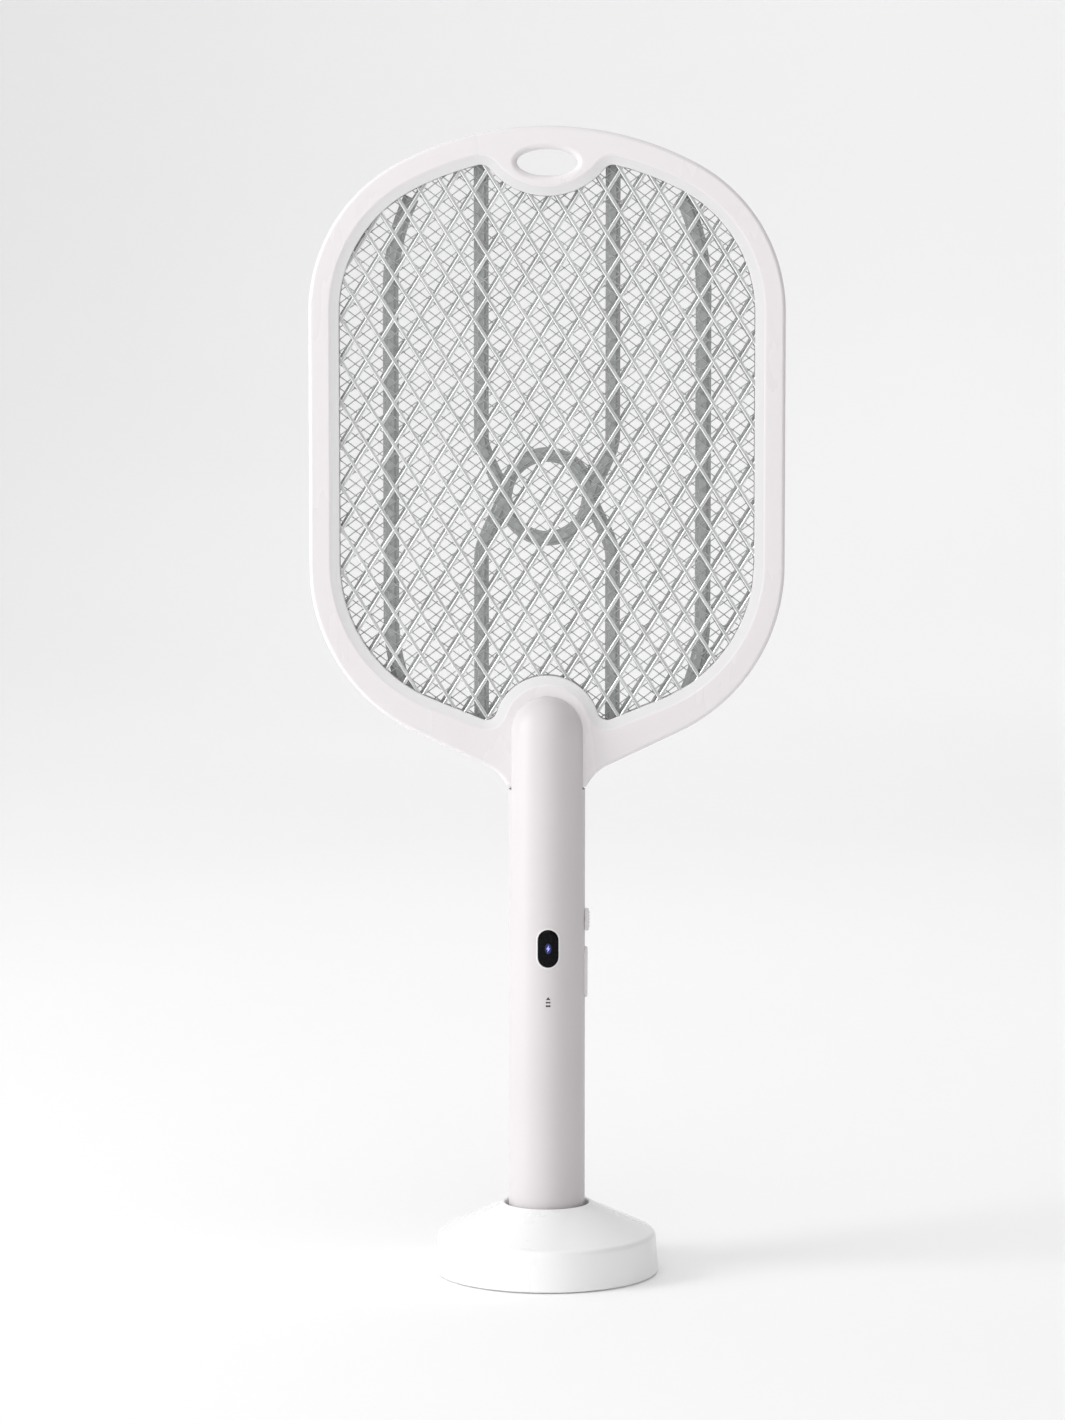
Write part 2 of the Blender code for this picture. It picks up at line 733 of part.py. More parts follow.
def handle_end_cap(looks):
    """The plug at the foot of the handle, a cup with two round windows for the charging contacts."""
    spigot = HANDLE_R - HANDLE_WALL - GAP
    profile = (
        (HANDLE_R - 1.2 * MM, HANDLE_BOTTOM_Z),
        (HANDLE_R, HANDLE_BOTTOM_Z + 1.2 * MM),
        (HANDLE_R, CAP_TOP_Z),
        (spigot, CAP_TOP_Z),
        (spigot, 21 * MM),
        (spigot - 1.6 * MM, 21 * MM),
        (spigot - 1.6 * MM, CAP_TOP_Z + 0.4 * MM),
        (0.0, CAP_TOP_Z + 0.4 * MM),
    )
    cap = turned("handle_end_cap", ((0.0, HANDLE_BOTTOM_Z), *profile), steps=32)
    for x in (PIN_X, -PIN_X):
        cap = cut(cap, rod("way", (x, 0, 9 * MM), (x, 0, 15 * MM), 1.6 * MM, 12))
        cap = cut(cap, rod("pocket", (x, 0, 11.6 * MM), (x, 0, 15 * MM), 2.8 * MM, 14))
    return finish(cap, looks)


def contact_pad(name, x, looks):
    """A gold disc over a contact window."""
    return finish(rod(name, (x, 0, 11.9 * MM), (x, 0, 13.2 * MM), 2.4 * MM, 14), looks)


def display_window(looks):
    """A smoked lens that follows the handle's curve."""
    outer = rod("display_window", (0, 0, 120 * MM), (0, 0, 170 * MM), HANDLE_R - 0.1 * MM, 96)
    inner = rod("back", (0, 0, 110 * MM), (0, 0, 180 * MM), HANDLE_R - 1.7 * MM, 40)
    shell = cut(outer, inner)
    shape = prism("shape", stadium(WINDOW_W, WINDOW_H, 8), (WINDOW_X, 0, WINDOW_Z), -20 * MM, -8 * MM)
    return finish(boolean(shell, shape, "INTERSECT"), looks)


def light_guide(looks):
    """A clear block that spreads the lamp's light behind the lens."""
    shape = stadium(6 * MM, 12 * MM, 5)
    made = prism("light_guide", shape, (WINDOW_X, 0, WINDOW_Z), -13.6 * MM, -8.0 * MM)
    return finish(made, looks)


def indicator_led(looks):
    """The lamp, standing on two legs on the board."""
    front = (WINDOW_X, -7.6 * MM, WINDOW_Z)
    back = (WINDOW_X, -2.6 * MM, WINDOW_Z)
    lamp = rod("indicator_led", front, back, 2.5 * MM, 14)
    half = 0.3 * MM
    for x in (WINDOW_X - 1.0 * MM, WINDOW_X + 1.0 * MM):
        low = (x - half, -3.4 * MM, WINDOW_Z - half)
        high = (x + half, BOARD_Y - GAP, WINDOW_Z + half)
        lamp = join(lamp, box("leg", low, high))
    return finish(lamp, looks)


def mode_slider(looks):
    """The small thumb slider on the right side, with a stem through the slot."""
    half_h = SLIDER_H / 2
    top = HANDLE_R + SLIDER_OUT
    low = (HANDLE_R + 0.1 * MM, -SLIDER_W / 2, SLIDER_Z - half_h)
    plate = box("mode_slider", low, (top, SLIDER_W / 2, SLIDER_Z + half_h), 0.6 * MM)
    for z in (SLIDER_Z - GROOVE_PITCH, SLIDER_Z, SLIDER_Z + GROOVE_PITCH):
        low = (top - 0.4 * MM, -SLIDER_W, z - 0.35 * MM)
        high = (top + 1 * MM, SLIDER_W, z + 0.35 * MM)
        plate = cut(plate, box("groove", low, high))
    low = (13.4 * MM, -1.2 * MM, SLIDER_Z - SLIDER_STEM_HALF)
    high = (HANDLE_R + 0.8 * MM, 1.2 * MM, SLIDER_Z + SLIDER_STEM_HALF)
    made = join(plate, box("stem", low, high))
    set_origin(made, (HANDLE_R, 0, SLIDER_Z))
    return finish(made, looks)


def slide_switch_lever(looks):
    """The switch's own lever, carried by the slider's stem."""
    low = (10.2 * MM, -0.9 * MM, SLIDER_Z - 1.2 * MM)
    high = (13.1 * MM, 0.9 * MM, SLIDER_Z + 1.2 * MM)
    made = box("slide_switch_lever", low, high)
    set_origin(made, (12 * MM, 0, SLIDER_Z))
    return finish(made, looks)


def slide_switch_body(looks):
    """The can of the slide switch, open along the lever's way."""
    low = (6.2 * MM, -2.6 * MM, SLIDER_Z - 6 * MM)
    can = box("slide_switch_body", low, (11.4 * MM, BOARD_Y - GAP, SLIDER_Z + 6 * MM))
    reach = 1.2 * MM + SLIDER_TRAVEL + 0.6 * MM
    low = (9.4 * MM, -1.15 * MM, SLIDER_Z - reach)
    return finish(cut(can, box("way", low, (13 * MM, 1.1 * MM, SLIDER_Z + reach))), looks)


def trigger_button(looks):
    """The long button on the right side, with a flange inside the shell."""
    outline = stadium(TRIGGER_W, TRIGGER_H, 8)
    top = HANDLE_R + TRIGGER_OUT
    face = to_right(prism("trigger_button", outline, (0, 0, TRIGGER_Z), -top, -13.3 * MM))
    bevel = face.modifiers.new("rounding", "BEVEL")
    bevel.width = 0.7 * MM
    bevel.segments = 2
    bevel.limit_method = "ANGLE"
    half_h = TRIGGER_H / 2 + 1.35 * MM
    low = (12.8 * MM, -4.4 * MM, TRIGGER_Z - half_h)
    high = (13.7 * MM, 4.4 * MM, TRIGGER_Z + half_h)
    made = join(settle(face), box("flange", low, high))
    set_origin(made, (HANDLE_R, 0, TRIGGER_Z))
    return finish(made, looks)


def push_switch_body(looks):
    """The push switch under the trigger, open where its plunger goes in."""
    low = (4.6 * MM, -3.4 * MM, TRIGGER_Z - 3 * MM)
    can = box("push_switch_body", low, (9.9 * MM, BOARD_Y - GAP, TRIGGER_Z + 3 * MM))
    start = (6.0 * MM, PLUNGER_Y, TRIGGER_Z)
    way = rod("way", start, (12 * MM, PLUNGER_Y, TRIGGER_Z), 1.6 * MM, 14)
    return finish(cut(can, way), looks)


def push_switch_plunger(looks):
    """The switch's plunger, its outer end just under the trigger's flange."""
    end = (12.5 * MM, PLUNGER_Y, TRIGGER_Z)
    made = rod("push_switch_plunger", (7.6 * MM, PLUNGER_Y, TRIGGER_Z), end, 1.3 * MM, 12)
    set_origin(made, end)
    return finish(made, looks)


def main_board(looks):
    """The circuit board across the handle, between its lower and upper screws."""
    low = (-11 * MM, BOARD_Y, BOARD_LOW_Z)
    board = box("main_board", low, (11 * MM, BOARD_Y + BOARD_T, BOARD_HIGH_Z))
    return finish(board, looks)


def battery_cell(looks):
    """A round lithium cell with a raised contact on top."""
    top = BATTERY_LOW_Z + BATTERY_H
    profile = (
        (0.0, BATTERY_LOW_Z),
        (BATTERY_R - 0.6 * MM, BATTERY_LOW_Z),
        (BATTERY_R, BATTERY_LOW_Z + 0.6 * MM),
        (BATTERY_R, top - 1.6 * MM),
        (BATTERY_R - 0.6 * MM, top - 1.0 * MM),
        (3.2 * MM, top - 1.0 * MM),
        (3.2 * MM, top),
        (0.0, top),
    )
    return finish(turned("battery_cell", profile, steps=24), looks)


def hv_capacitor(looks):
    """A film capacitor with rounded edges, standing on the front of the main board."""
    low = (-7 * MM, -8 * MM, 103 * MM)
    made = box("hv_capacitor", low, (6 * MM, BOARD_Y - GAP, 117 * MM), 0.6 * MM, 1)
    return finish(made, looks)


def hv_transformer(looks):
    """A ferrite core with its winding between two flanges."""
    back = BOARD_Y - GAP
    core = box("hv_transformer", (-7 * MM, -9.4 * MM, 163.2 * MM), (5 * MM, back, 176 * MM), 0.5 * MM, 1)
    for low_z, high_z in ((163.0 * MM, 165.0 * MM), (174.2 * MM, 176.4 * MM)):
        core = join(core, box("flange", (-8 * MM, -10.2 * MM, low_z), (6 * MM, back, high_z)))
    return finish(core, looks)


def bleed_resistor(looks):
    """A resistor standing along the board, thicker at its two end caps."""
    upper = [(1.4 * MM, 2.0 * MM), (1.7 * MM, 2.4 * MM), (1.7 * MM, 4.0 * MM), (0.0, 4.5 * MM)]
    lower = [(radius, -height) for radius, height in reversed(upper)]
    made = turned("bleed_resistor", lower + upper, steps=14)
    made.location = (-5 * MM, BOARD_Y - 2.1 * MM, 128 * MM)
    return finish(made, looks)


# ---- dock -----------------------------------------------------------------------------------


def around(count, radius, start=45.0):
    """Evenly spaced spots on a circle."""
    turn = [radians(start + 360 * step / count) for step in range(count)]
    return [(radius * cos(a), radius * sin(a)) for a in turn]


def anti_slip_pad(looks):
    """The soft disc that the dock stands on."""
    profile = (
        (0.0, 0.0),
        (PLATE_R - 0.5 * MM, 0.0),
        (PLATE_R, 0.4 * MM),
        (PLATE_R, PAD_T),
        (0.0, PAD_T),
    )
    return finish(turned("anti_slip_pad", profile, steps=48), looks)


def base_bottom_plate(looks):
    """The plate that closes the dock, with a collar under the cup and sunk screw seats."""
    profile = (
        (0.0, PLATE_LOW_Z),
        (PLATE_R, PLATE_LOW_Z),
        (PLATE_R, PLATE_TOP_Z),
        (19.0 * MM, PLATE_TOP_Z),
        (19.0 * MM, CUP_FLOOR_Z - GAP),
        (17.0 * MM, CUP_FLOOR_Z - GAP),
        (17.0 * MM, 5.4 * MM),
        (13.5 * MM, 5.4 * MM),
        (13.5 * MM, PLATE_TOP_Z),
        (0.0, PLATE_TOP_Z),
    )
    plate = turned("base_bottom_plate", profile, steps=32)
    plate = cut(plate, box("wire_way", (-4 * MM, 12 * MM, 4.4 * MM), (4 * MM, 22 * MM, 12 * MM)))
    for x in (-5.5 * MM, 5.5 * MM):
        plate = join(plate, rod("post", (x, 37 * MM, 3 * MM), (x, 37 * MM, 6.3 * MM), 1.6 * MM, 10))
    for x, y in around(4, DOCK_SCREW_R):
        plate = cut(plate, rod("pass", (x, y, 0), (x, y, 6 * MM), 1.4 * MM, 10))
        plate = cut(plate, rod("seat", (x, y, 0), (x, y, 3.0 * MM), 2.7 * MM, 14))
    return finish(plate, looks)


def base_cover(looks):
    """The dock's turned shell: short wall, cone and a round rim at the hole."""
    slope = (HOLE_TOP_Z - WALL_TOP_Z) / (WALL_TOP_R - HOLE_R)
    rim_r = HOLE_R + 1.0 * MM
    profile = [
        (DOCK_R - 0.6 * MM, 0.5 * MM),
        (DOCK_R, 1.1 * MM),
        (WALL_TOP_R + 0.2 * MM, WALL_TOP_Z - 3.2 * MM),
        (WALL_TOP_R - 0.5 * MM, WALL_TOP_Z - 1.3 * MM),
        (WALL_TOP_R - 2.2 * MM, WALL_TOP_Z + 0.3 * MM),
        (rim_r + 1.2 * MM, HOLE_TOP_Z - 1.2 * MM * slope - 0.2 * MM),
        (rim_r + 0.2 * MM, HOLE_TOP_Z),
        (rim_r - 0.6 * MM, HOLE_TOP_Z - 0.2 * MM),
        (HOLE_R, HOLE_TOP_Z - 1.0 * MM),
        (HOLE_R, HOLE_TOP_Z - 5.2 * MM),
        (HOLE_R + 4 * MM, HOLE_TOP_Z - 5.2 * MM),
        (WALL_TOP_R - DOCK_WALL - 1.2 * MM, WALL_TOP_Z - DOCK_WALL),
        (WALL_TOP_R - DOCK_WALL, WALL_TOP_Z - DOCK_WALL - 2 * MM),
        (DOCK_R - DOCK_WALL, 0.5 * MM),
    ]
    cover = turned("base_cover", profile, steps=48)
    for x, y in around(4, DOCK_SCREW_R):
        cover = join(cover, rod("boss", (x, y, PLATE_TOP_Z + GAP), (x, y, 18.4 * MM), 3.2 * MM, 12))
        cover = cut(cover, rod("pilot", (x, y, 2 * MM), (x, y, 14 * MM), 1.15 * MM, 10))
    opening = lying(stadium(3.9 * MM, 9.8 * MM))
    cover = cut(cover, prism("inlet_hole", opening, (0, 0, INLET_Z), 44 * MM, 52 * MM))
    return finish(cover, looks)


def base_socket(looks):
    """The cup that takes the handle's foot, with holes for the sprung pins in its floor."""
    profile = [
        (0.0, CUP_FLOOR_Z),
        (CUP_OUT_R - 0.8 * MM, CUP_FLOOR_Z),
        (CUP_OUT_R, CUP_FLOOR_Z + 0.8 * MM),
        (CUP_OUT_R, CUP_TOP_Z - 1.6 * MM),
        (HOLE_R + 3.6 * MM, CUP_TOP_Z - 1.6 * MM),
        (HOLE_R + 3.6 * MM, CUP_TOP_Z),
        (HOLE_R, CUP_TOP_Z),
        (CUP_IN_R, CUP_TOP_Z - 0.8 * MM),
        (CUP_IN_R, HANDLE_BOTTOM_Z - GAP),
        (0.0, HANDLE_BOTTOM_Z - GAP),
    ]
    cup = turned("base_socket", profile, steps=32)
    for x in (PIN_X, -PIN_X):
        cup = cut(cup, rod("pin_way", (x, 0, 6 * MM), (x, 0, 14 * MM), 1.7 * MM, 12))
    return finish(cup, looks)


def base_ballast(looks):
    """A steel weight ring with a notch for the wires."""
    profile = (
        (20 * MM, PLATE_TOP_Z + GAP),
        (34.5 * MM, PLATE_TOP_Z + GAP),
        (34.5 * MM, 9.6 * MM),
        (20 * MM, 9.6 * MM),
    )
    ring = turned("base_ballast", profile, steps=36)
    return finish(cut(ring, box("notch", (-6 * MM, 5 * MM, 0), (6 * MM, 40 * MM, 14 * MM))), looks)


def dock_board(looks):
    """The round charging board under the cup."""
    return finish(rod("dock_board", (0, 0, 5.7 * MM), (0, 0, 7.0 * MM), 16.6 * MM, 32), looks)


def inlet_board(looks):
    """The small board that carries the inlet."""
    low = (-8 * MM, 34.8 * MM, 6.6 * MM)
    return finish(box("inlet_board", low, (8 * MM, 44.6 * MM, 7.6 * MM)), looks)


def usb_c_socket(looks):
    """The charging inlet at the back: a rounded metal mouth with a tongue in it."""
    middle = (0, 0, INLET_Z)
    mouth = lying(stadium(3.3 * MM, 9.1 * MM))
    hollow = lying(stadium(2.6 * MM, 8.4 * MM))
    shell = prism("usb_c_socket", mouth, middle, 38.6 * MM, 46.8 * MM)
    shell = cut(shell, prism("hollow", hollow, middle, 40 * MM, 50 * MM))
    low = (-3.2 * MM, 39 * MM, INLET_Z - 0.35 * MM)
    high = (3.2 * MM, 45.6 * MM, INLET_Z + 0.35 * MM)
    return finish(join(shell, box("tongue", low, high)), looks)


def pogo_barrel(name, x, looks):
    """A brass sleeve on the dock board, open at the top."""
    profile = (
        (0.0, 7.3 * MM),
        (1.4 * MM, 7.3 * MM),
        (1.4 * MM, 10.0 * MM),
        (0.95 * MM, 10.0 * MM),
        (0.95 * MM, 7.7 * MM),
        (0.0, 7.7 * MM),
    )
    made = turned(name, profile, steps=14)
    made.location = (x, 0, 0)
    return finish(made, looks)


def pogo_pin(name, x, looks):
    """The sprung pin in its sleeve, round at the tip."""
    profile = (
        (0.0, 8.7 * MM),
        (0.65 * MM, 8.7 * MM),
        (0.65 * MM, 11.2 * MM),
        (0.4 * MM, 11.5 * MM),
        (0.0, 11.6 * MM),
    )
    made = turned(name, profile, steps=12)
    made.location = (x, 0, 0)
    set_origin(made, (x, 0, 11.6 * MM))
    return finish(made, looks)


def base_screw(index, x, y, looks):
    """A screw from below into one of the cover's bosses."""
    profile = (
        (0.0, 1.7 * MM),
        (1.7 * MM, 1.7 * MM),
        (2.3 * MM, 2.0 * MM),
        (2.3 * MM, 2.7 * MM),
        (0.9 * MM, 2.7 * MM),
        (0.9 * MM, 11.0 * MM),
        (0.0, 12.0 * MM),
    )
    made = turned(f"base_screw_{index}", profile, steps=12)
    made.location = (x, y, 0)
    return finish(made, looks)


# ---- assembly -------------------------------------------------------------------------------


def build_head(white, shade, grid, steel):
    grey = material("rib_grey", RIB_GREY, 0.45)
    head_front_frame(white)
    head_rear_frame(white)
    guard_mesh("front_guard_mesh", -1, grid)
    high_voltage_mesh(steel)
    guard_mesh("rear_guard_mesh", 1, grid)
    mesh_spacer(shade)
    rib_frame(grey)
    for index, (x, z) in enumerate(screw_spots(), start=1):
        head_screw(index, x, z, steel)


def build_handle(white, shade, steel, gold, green):
    black = material("smoked_lens", (0.01, 0.01, 0.012), 0.12)
    clear = material("clear_guide", (0.85, 0.9, 0.95), 0.2)
    lamp = material("lamp_blue", (0.35, 0.5, 0.9), 0.3)
    dark = material("black_part", (0.03, 0.03, 0.03), 0.45)
    wrap = material("cell_wrap", (0.05, 0.22, 0.5), 0.35)
    yellow = material("winding_tape", (0.75, 0.55, 0.08), 0.5)
    brown = material("film_capacitor", (0.35, 0.08, 0.04), 0.35)
    blue = material("resistor_coat", (0.2, 0.45, 0.6), 0.4)
    handle_front_shell(white)
    handle_rear_shell(white)
    handle_end_cap(white)
    for index, z in enumerate(HANDLE_SCREW_Z, start=1):
        handle_screw(index, z, steel)
    contact_pad("contact_pad_right", PIN_X, gold)
    contact_pad("contact_pad_left", -PIN_X, gold)
    display_window(black)
    light_guide(clear)
    indicator_led(lamp)
    mode_slider(white)
    slide_switch_lever(dark)
    slide_switch_body(steel)
    trigger_button(white)
    push_switch_body(dark)
    push_switch_plunger(shade)
    main_board(green)
    battery_cell(wrap)
    hv_transformer(yellow)
    hv_capacitor(brown)
    bleed_resistor(blue)


def battery_leads(red, black_wire):
    """The cell's two leads: one from its top, one from under it and up behind it."""
    behind = BOARD_Y + BOARD_T + 1.1 * MM
    red_route = [
        (2 * MM, 0, 89.3 * MM),
        (6.2 * MM, 0.5 * MM, 92.4 * MM),
        (8 * MM, behind, 96 * MM),
        (8 * MM, behind, 101 * MM),
    ]
    black_route = [
        (-3 * MM, 2 * MM, 22.3 * MM),
        (-9 * MM, 6.5 * MM, 22.6 * MM),
        (-8.2 * MM, 10 * MM, 30 * MM),
        (-7.5 * MM, 10 * MM, 84 * MM),
        (-8 * MM, behind, 97 * MM),
        (-8 * MM, behind, 101 * MM),
    ]
    wire("battery_lead_red", red_route, LEAD_R, red, 4 * MM)
    wire("battery_lead_black", black_route, LEAD_R, black_wire)


def charge_lead(name, way, looks):
    """From a contact pad up past the cell to the foot of the board."""
    route = [
        (way * PIN_X, 0, 13.9 * MM),
        (way * 7 * MM, 0, 17 * MM),
        (way * 11.8 * MM, 0, 24 * MM),
        (way * 12.1 * MM, 0, 40 * MM),
        (way * 12.1 * MM, 0, 88 * MM),
        (way * 9.4 * MM, -0.6 * MM, 97 * MM),
        (way * 9.4 * MM, 0.3 * MM, 104 * MM),
    ]
    wire(name, route, LEAD_R, looks)


def hv_lead(name, way, looks):
    """From the top of the board through the neck's channel to the grids."""
    route = [
        (way * 6 * MM, 0.2 * MM, 180 * MM),
        (way * 6 * MM, 0, 188 * MM),
        (way * 6 * MM, 0, 215 * MM),
        (way * 5.6 * MM, 0, 240 * MM),
        (way * 5 * MM, 0, 257.8 * MM),
    ]
    wire(name, route, 0.8 * MM, looks, 8 * MM)


def dock_wire(name, way, looks):
    """From the inlet's board to the charging board."""
    route = [
        (way * 2 * MM, 12 * MM, 7.75 * MM),
        (way * 2 * MM, 18 * MM, 7.75 * MM),
        (way * 2.4 * MM, 26 * MM, 7.3 * MM),
        (way * 3 * MM, 34.2 * MM, 7.1 * MM),
    ]
    wire(name, route, 0.5 * MM, looks, 4 * MM)


def build_leads(red, black_wire, white_wire):
    """The wires inside the handle and the dock, each clear of every other piece."""
    battery_leads(red, black_wire)
    charge_lead("charge_lead_right", 1, red)
    charge_lead("charge_lead_left", -1, black_wire)
    hv_lead("hv_lead_right", 1, white_wire)
    hv_lead("hv_lead_left", -1, white_wire)
    dock_wire("dock_wire_red", 1, red)
    dock_wire("dock_wire_black", -1, black_wire)


def build_dock(white, shade, steel, gold, green):
    rubber = material("foam_rubber", (0.06, 0.06, 0.06), 0.9)
    ballast = material("ballast_steel", (0.35, 0.35, 0.36), 0.5, 0.9)
    anti_slip_pad(rubber)
    base_bottom_plate(shade)
    base_cover(white)
    base_socket(shade)
    base_ballast(ballast)
    dock_board(green)
    inlet_board(green)
    usb_c_socket(steel)
    for side, x in (("right", PIN_X), ("left", -PIN_X)):
        pogo_barrel(f"pogo_barrel_{side}", x, gold)
        pogo_pin(f"pogo_pin_{side}", x, gold)
    for index, (x, y) in enumerate(around(4, DOCK_SCREW_R), start=1):
        base_screw(index, x, y, steel)


def main():
    white = material("white_abs", PLASTIC_WHITE, 0.3)
    shade = material("grey_white_abs", PLASTIC_SHADE, 0.45)
    grid = material("guard_metal", (0.66, 0.67, 0.67), 0.35, 0.9)
    steel = material("plated_steel", STEEL, 0.35, 1.0)
    gold = material("gold_plate", (0.85, 0.65, 0.3), 0.25, 1.0)
    green = material("circuit_board", COPPER_GREEN, 0.45)
    red = material("red_wire", (0.6, 0.03, 0.02), 0.45)
    black_wire = material("black_wire", (0.02, 0.02, 0.02), 0.45)
    white_wire = material("silicone_wire", (0.8, 0.8, 0.78), 0.5)
    build_head(white, shade, grid, steel)
    build_handle(white, shade, steel, gold, green)
    build_leads(red, black_wire, white_wire)
    build_dock(white, shade, steel, gold, green)


main()
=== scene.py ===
"""The electric fly swatter in its dock, dressed for a studio picture.

Metres, +Z up, the swatter's front facing -Y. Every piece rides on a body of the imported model.
"""

import json
from math import asin, cos, pi, radians, sin, sqrt

import bmesh
import bpy
from mathutils import Matrix, Vector

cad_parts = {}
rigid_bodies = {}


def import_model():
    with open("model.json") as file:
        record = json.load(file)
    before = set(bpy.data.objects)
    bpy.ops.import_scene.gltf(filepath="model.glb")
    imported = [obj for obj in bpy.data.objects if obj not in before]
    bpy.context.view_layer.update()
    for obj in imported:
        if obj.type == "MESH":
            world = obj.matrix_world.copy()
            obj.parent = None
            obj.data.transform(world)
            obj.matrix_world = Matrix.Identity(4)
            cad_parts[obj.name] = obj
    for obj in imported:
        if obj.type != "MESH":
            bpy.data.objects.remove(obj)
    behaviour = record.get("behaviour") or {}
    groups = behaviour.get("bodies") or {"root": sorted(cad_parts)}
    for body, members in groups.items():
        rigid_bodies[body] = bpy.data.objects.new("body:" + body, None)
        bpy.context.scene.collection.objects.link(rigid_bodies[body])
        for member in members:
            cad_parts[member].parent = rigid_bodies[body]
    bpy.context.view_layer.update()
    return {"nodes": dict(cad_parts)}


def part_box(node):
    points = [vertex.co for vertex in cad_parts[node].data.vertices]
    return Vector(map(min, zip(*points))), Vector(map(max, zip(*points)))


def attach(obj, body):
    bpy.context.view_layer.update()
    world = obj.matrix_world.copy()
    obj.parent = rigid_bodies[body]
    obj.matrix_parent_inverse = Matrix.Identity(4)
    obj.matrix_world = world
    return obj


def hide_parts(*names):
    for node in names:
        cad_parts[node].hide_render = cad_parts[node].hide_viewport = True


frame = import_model()

MM = 0.001
GAP = 0.3 * MM

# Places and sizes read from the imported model.
RING_LOW, RING_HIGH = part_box("head_front_frame")
TUBE_LOW, TUBE_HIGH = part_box("handle_front_shell")
DOCK_LOW, DOCK_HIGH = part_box("base_cover")
CUP_LOW, CUP_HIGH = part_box("base_socket")
CAP_LOW, CAP_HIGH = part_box("handle_end_cap")
LENS_LOW, LENS_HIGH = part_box("display_window")
SLIDER_LOW, SLIDER_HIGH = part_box("mode_slider")
TRIGGER_LOW, TRIGGER_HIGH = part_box("trigger_button")
RIBS_LOW, RIBS_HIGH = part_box("rib_frame")
PAD_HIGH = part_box("anti_slip_pad")[1]

HEAD_HALF = RING_HIGH[0]
TOP_Z = RING_HIGH[2]
FACE_Y = -RING_LOW[1]
HANDLE_R = TUBE_HIGH[0]
DOME_Z = TUBE_HIGH[2] - HANDLE_R
SHELL_BOTTOM_Z = TUBE_LOW[2]
DOCK_R = DOCK_HIGH[0]
HOLE_TOP_Z = DOCK_HIGH[2]
SLIDER_Z = (SLIDER_LOW[2] + SLIDER_HIGH[2]) / 2
TRIGGER_Z = (TRIGGER_LOW[2] + TRIGGER_HIGH[2]) / 2
LENS_WIDTH = LENS_HIGH[0] - LENS_LOW[0]
LENS_HEIGHT = LENS_HIGH[2] - LENS_LOW[2]
LENS_CENTRE = ((LENS_LOW[0] + LENS_HIGH[0]) / 2, (LENS_LOW[2] + LENS_HIGH[2]) / 2)

# Turns a piece made on the handle's front round to its right side.
TO_RIGHT = Matrix.Rotation(radians(90), 4, "Z")

# Head outline, as arcs.
TOP_R = 138 * MM
CROWN_Z = TOP_Z - TOP_R
CROWN_MEETS = 62.2
SHOULDER_R = 72.4 * MM
SHOULDER_X = HEAD_HALF - SHOULDER_R
SHOULDER_Z = 420 * MM
JOWL_R = 79.7 * MM
JOWL_X = HEAD_HALF - JOWL_R
JOWL_Z = 310.4 * MM
CHIN_SLOPE = 26.0
NECK_Z = 214.6 * MM
NECK_R = 20 * MM
NECK_STEEP = 154.0
SLOT_Z = NECK_Z - 1.4 * MM
RING_WIDTH = 13.2 * MM
BEVEL_WIDTH = 3.8 * MM
LIP_Y = 4.2 * MM
POCKET = 3.5 * MM
LOW_CORNER_R = 64 * MM
LOW_CORNER_Z = 312 * MM
LOW_CORNER_ENDS = -65.6
ARCH_R = 23 * MM
ARCH_Z = 240 * MM
ARCH_CORNER = (26.2 * MM, 248.0 * MM)
ARCH_CORNER_R = 4.4 * MM
ARCH_CORNER_ENDS = -163.1
TAB_R = 32 * MM
TAB_Z = 502 * MM
TAB_ENDS = -39.7
TAB_CORNER = (28.47 * MM, 478.37 * MM)
TAB_CORNER_R = 5 * MM
EYE_Z = 484.6 * MM
EYE_HALF_X = 13 * MM
EYE_HALF_Z = 5.8 * MM

# Grids, with the pitch of one diamond and the place of one crossing.
GUARD_PITCH = (11.48 * MM, 18.22 * MM)
GUARD_CROSSING = (2.98 * MM, 308.0 * MM)
REAR_SHIFT = (-0.9 * MM, 0.7 * MM)
FINE_PITCH = (6.95 * MM, 5.17 * MM)
FINE_CROSSING = (-3.04 * MM, 307.4 * MM)

# Ribs.
RIB_X = 28.5 * MM
LOOPS_Z = 340.5 * MM
LOOP_R = 18.2 * MM
LOOP_REACH = 26 * MM
SIDE_RIB_X = 67.7 * MM

WHITE = (0.806, 0.779, 0.787)
WHITE_SHADE = (0.787, 0.753, 0.764)
# Painted shade: the window bevel's white, the ring's own plastic coloured darker.
COVE_PAINTED_SHADE_WHITE = (0.75, 0.745, 0.75)
DOCK_WHITE = (0.93, 0.93, 0.935)
# Painted shade: the handle is the ring's white plastic, coloured darker.
HANDLE_PAINTED_SHADE_WHITE = (0.68, 0.652, 0.658)
HANDLE_PAINTED_SHADE_DRIFT = (0.655, 0.62, 0.63)


# ---- materials ----


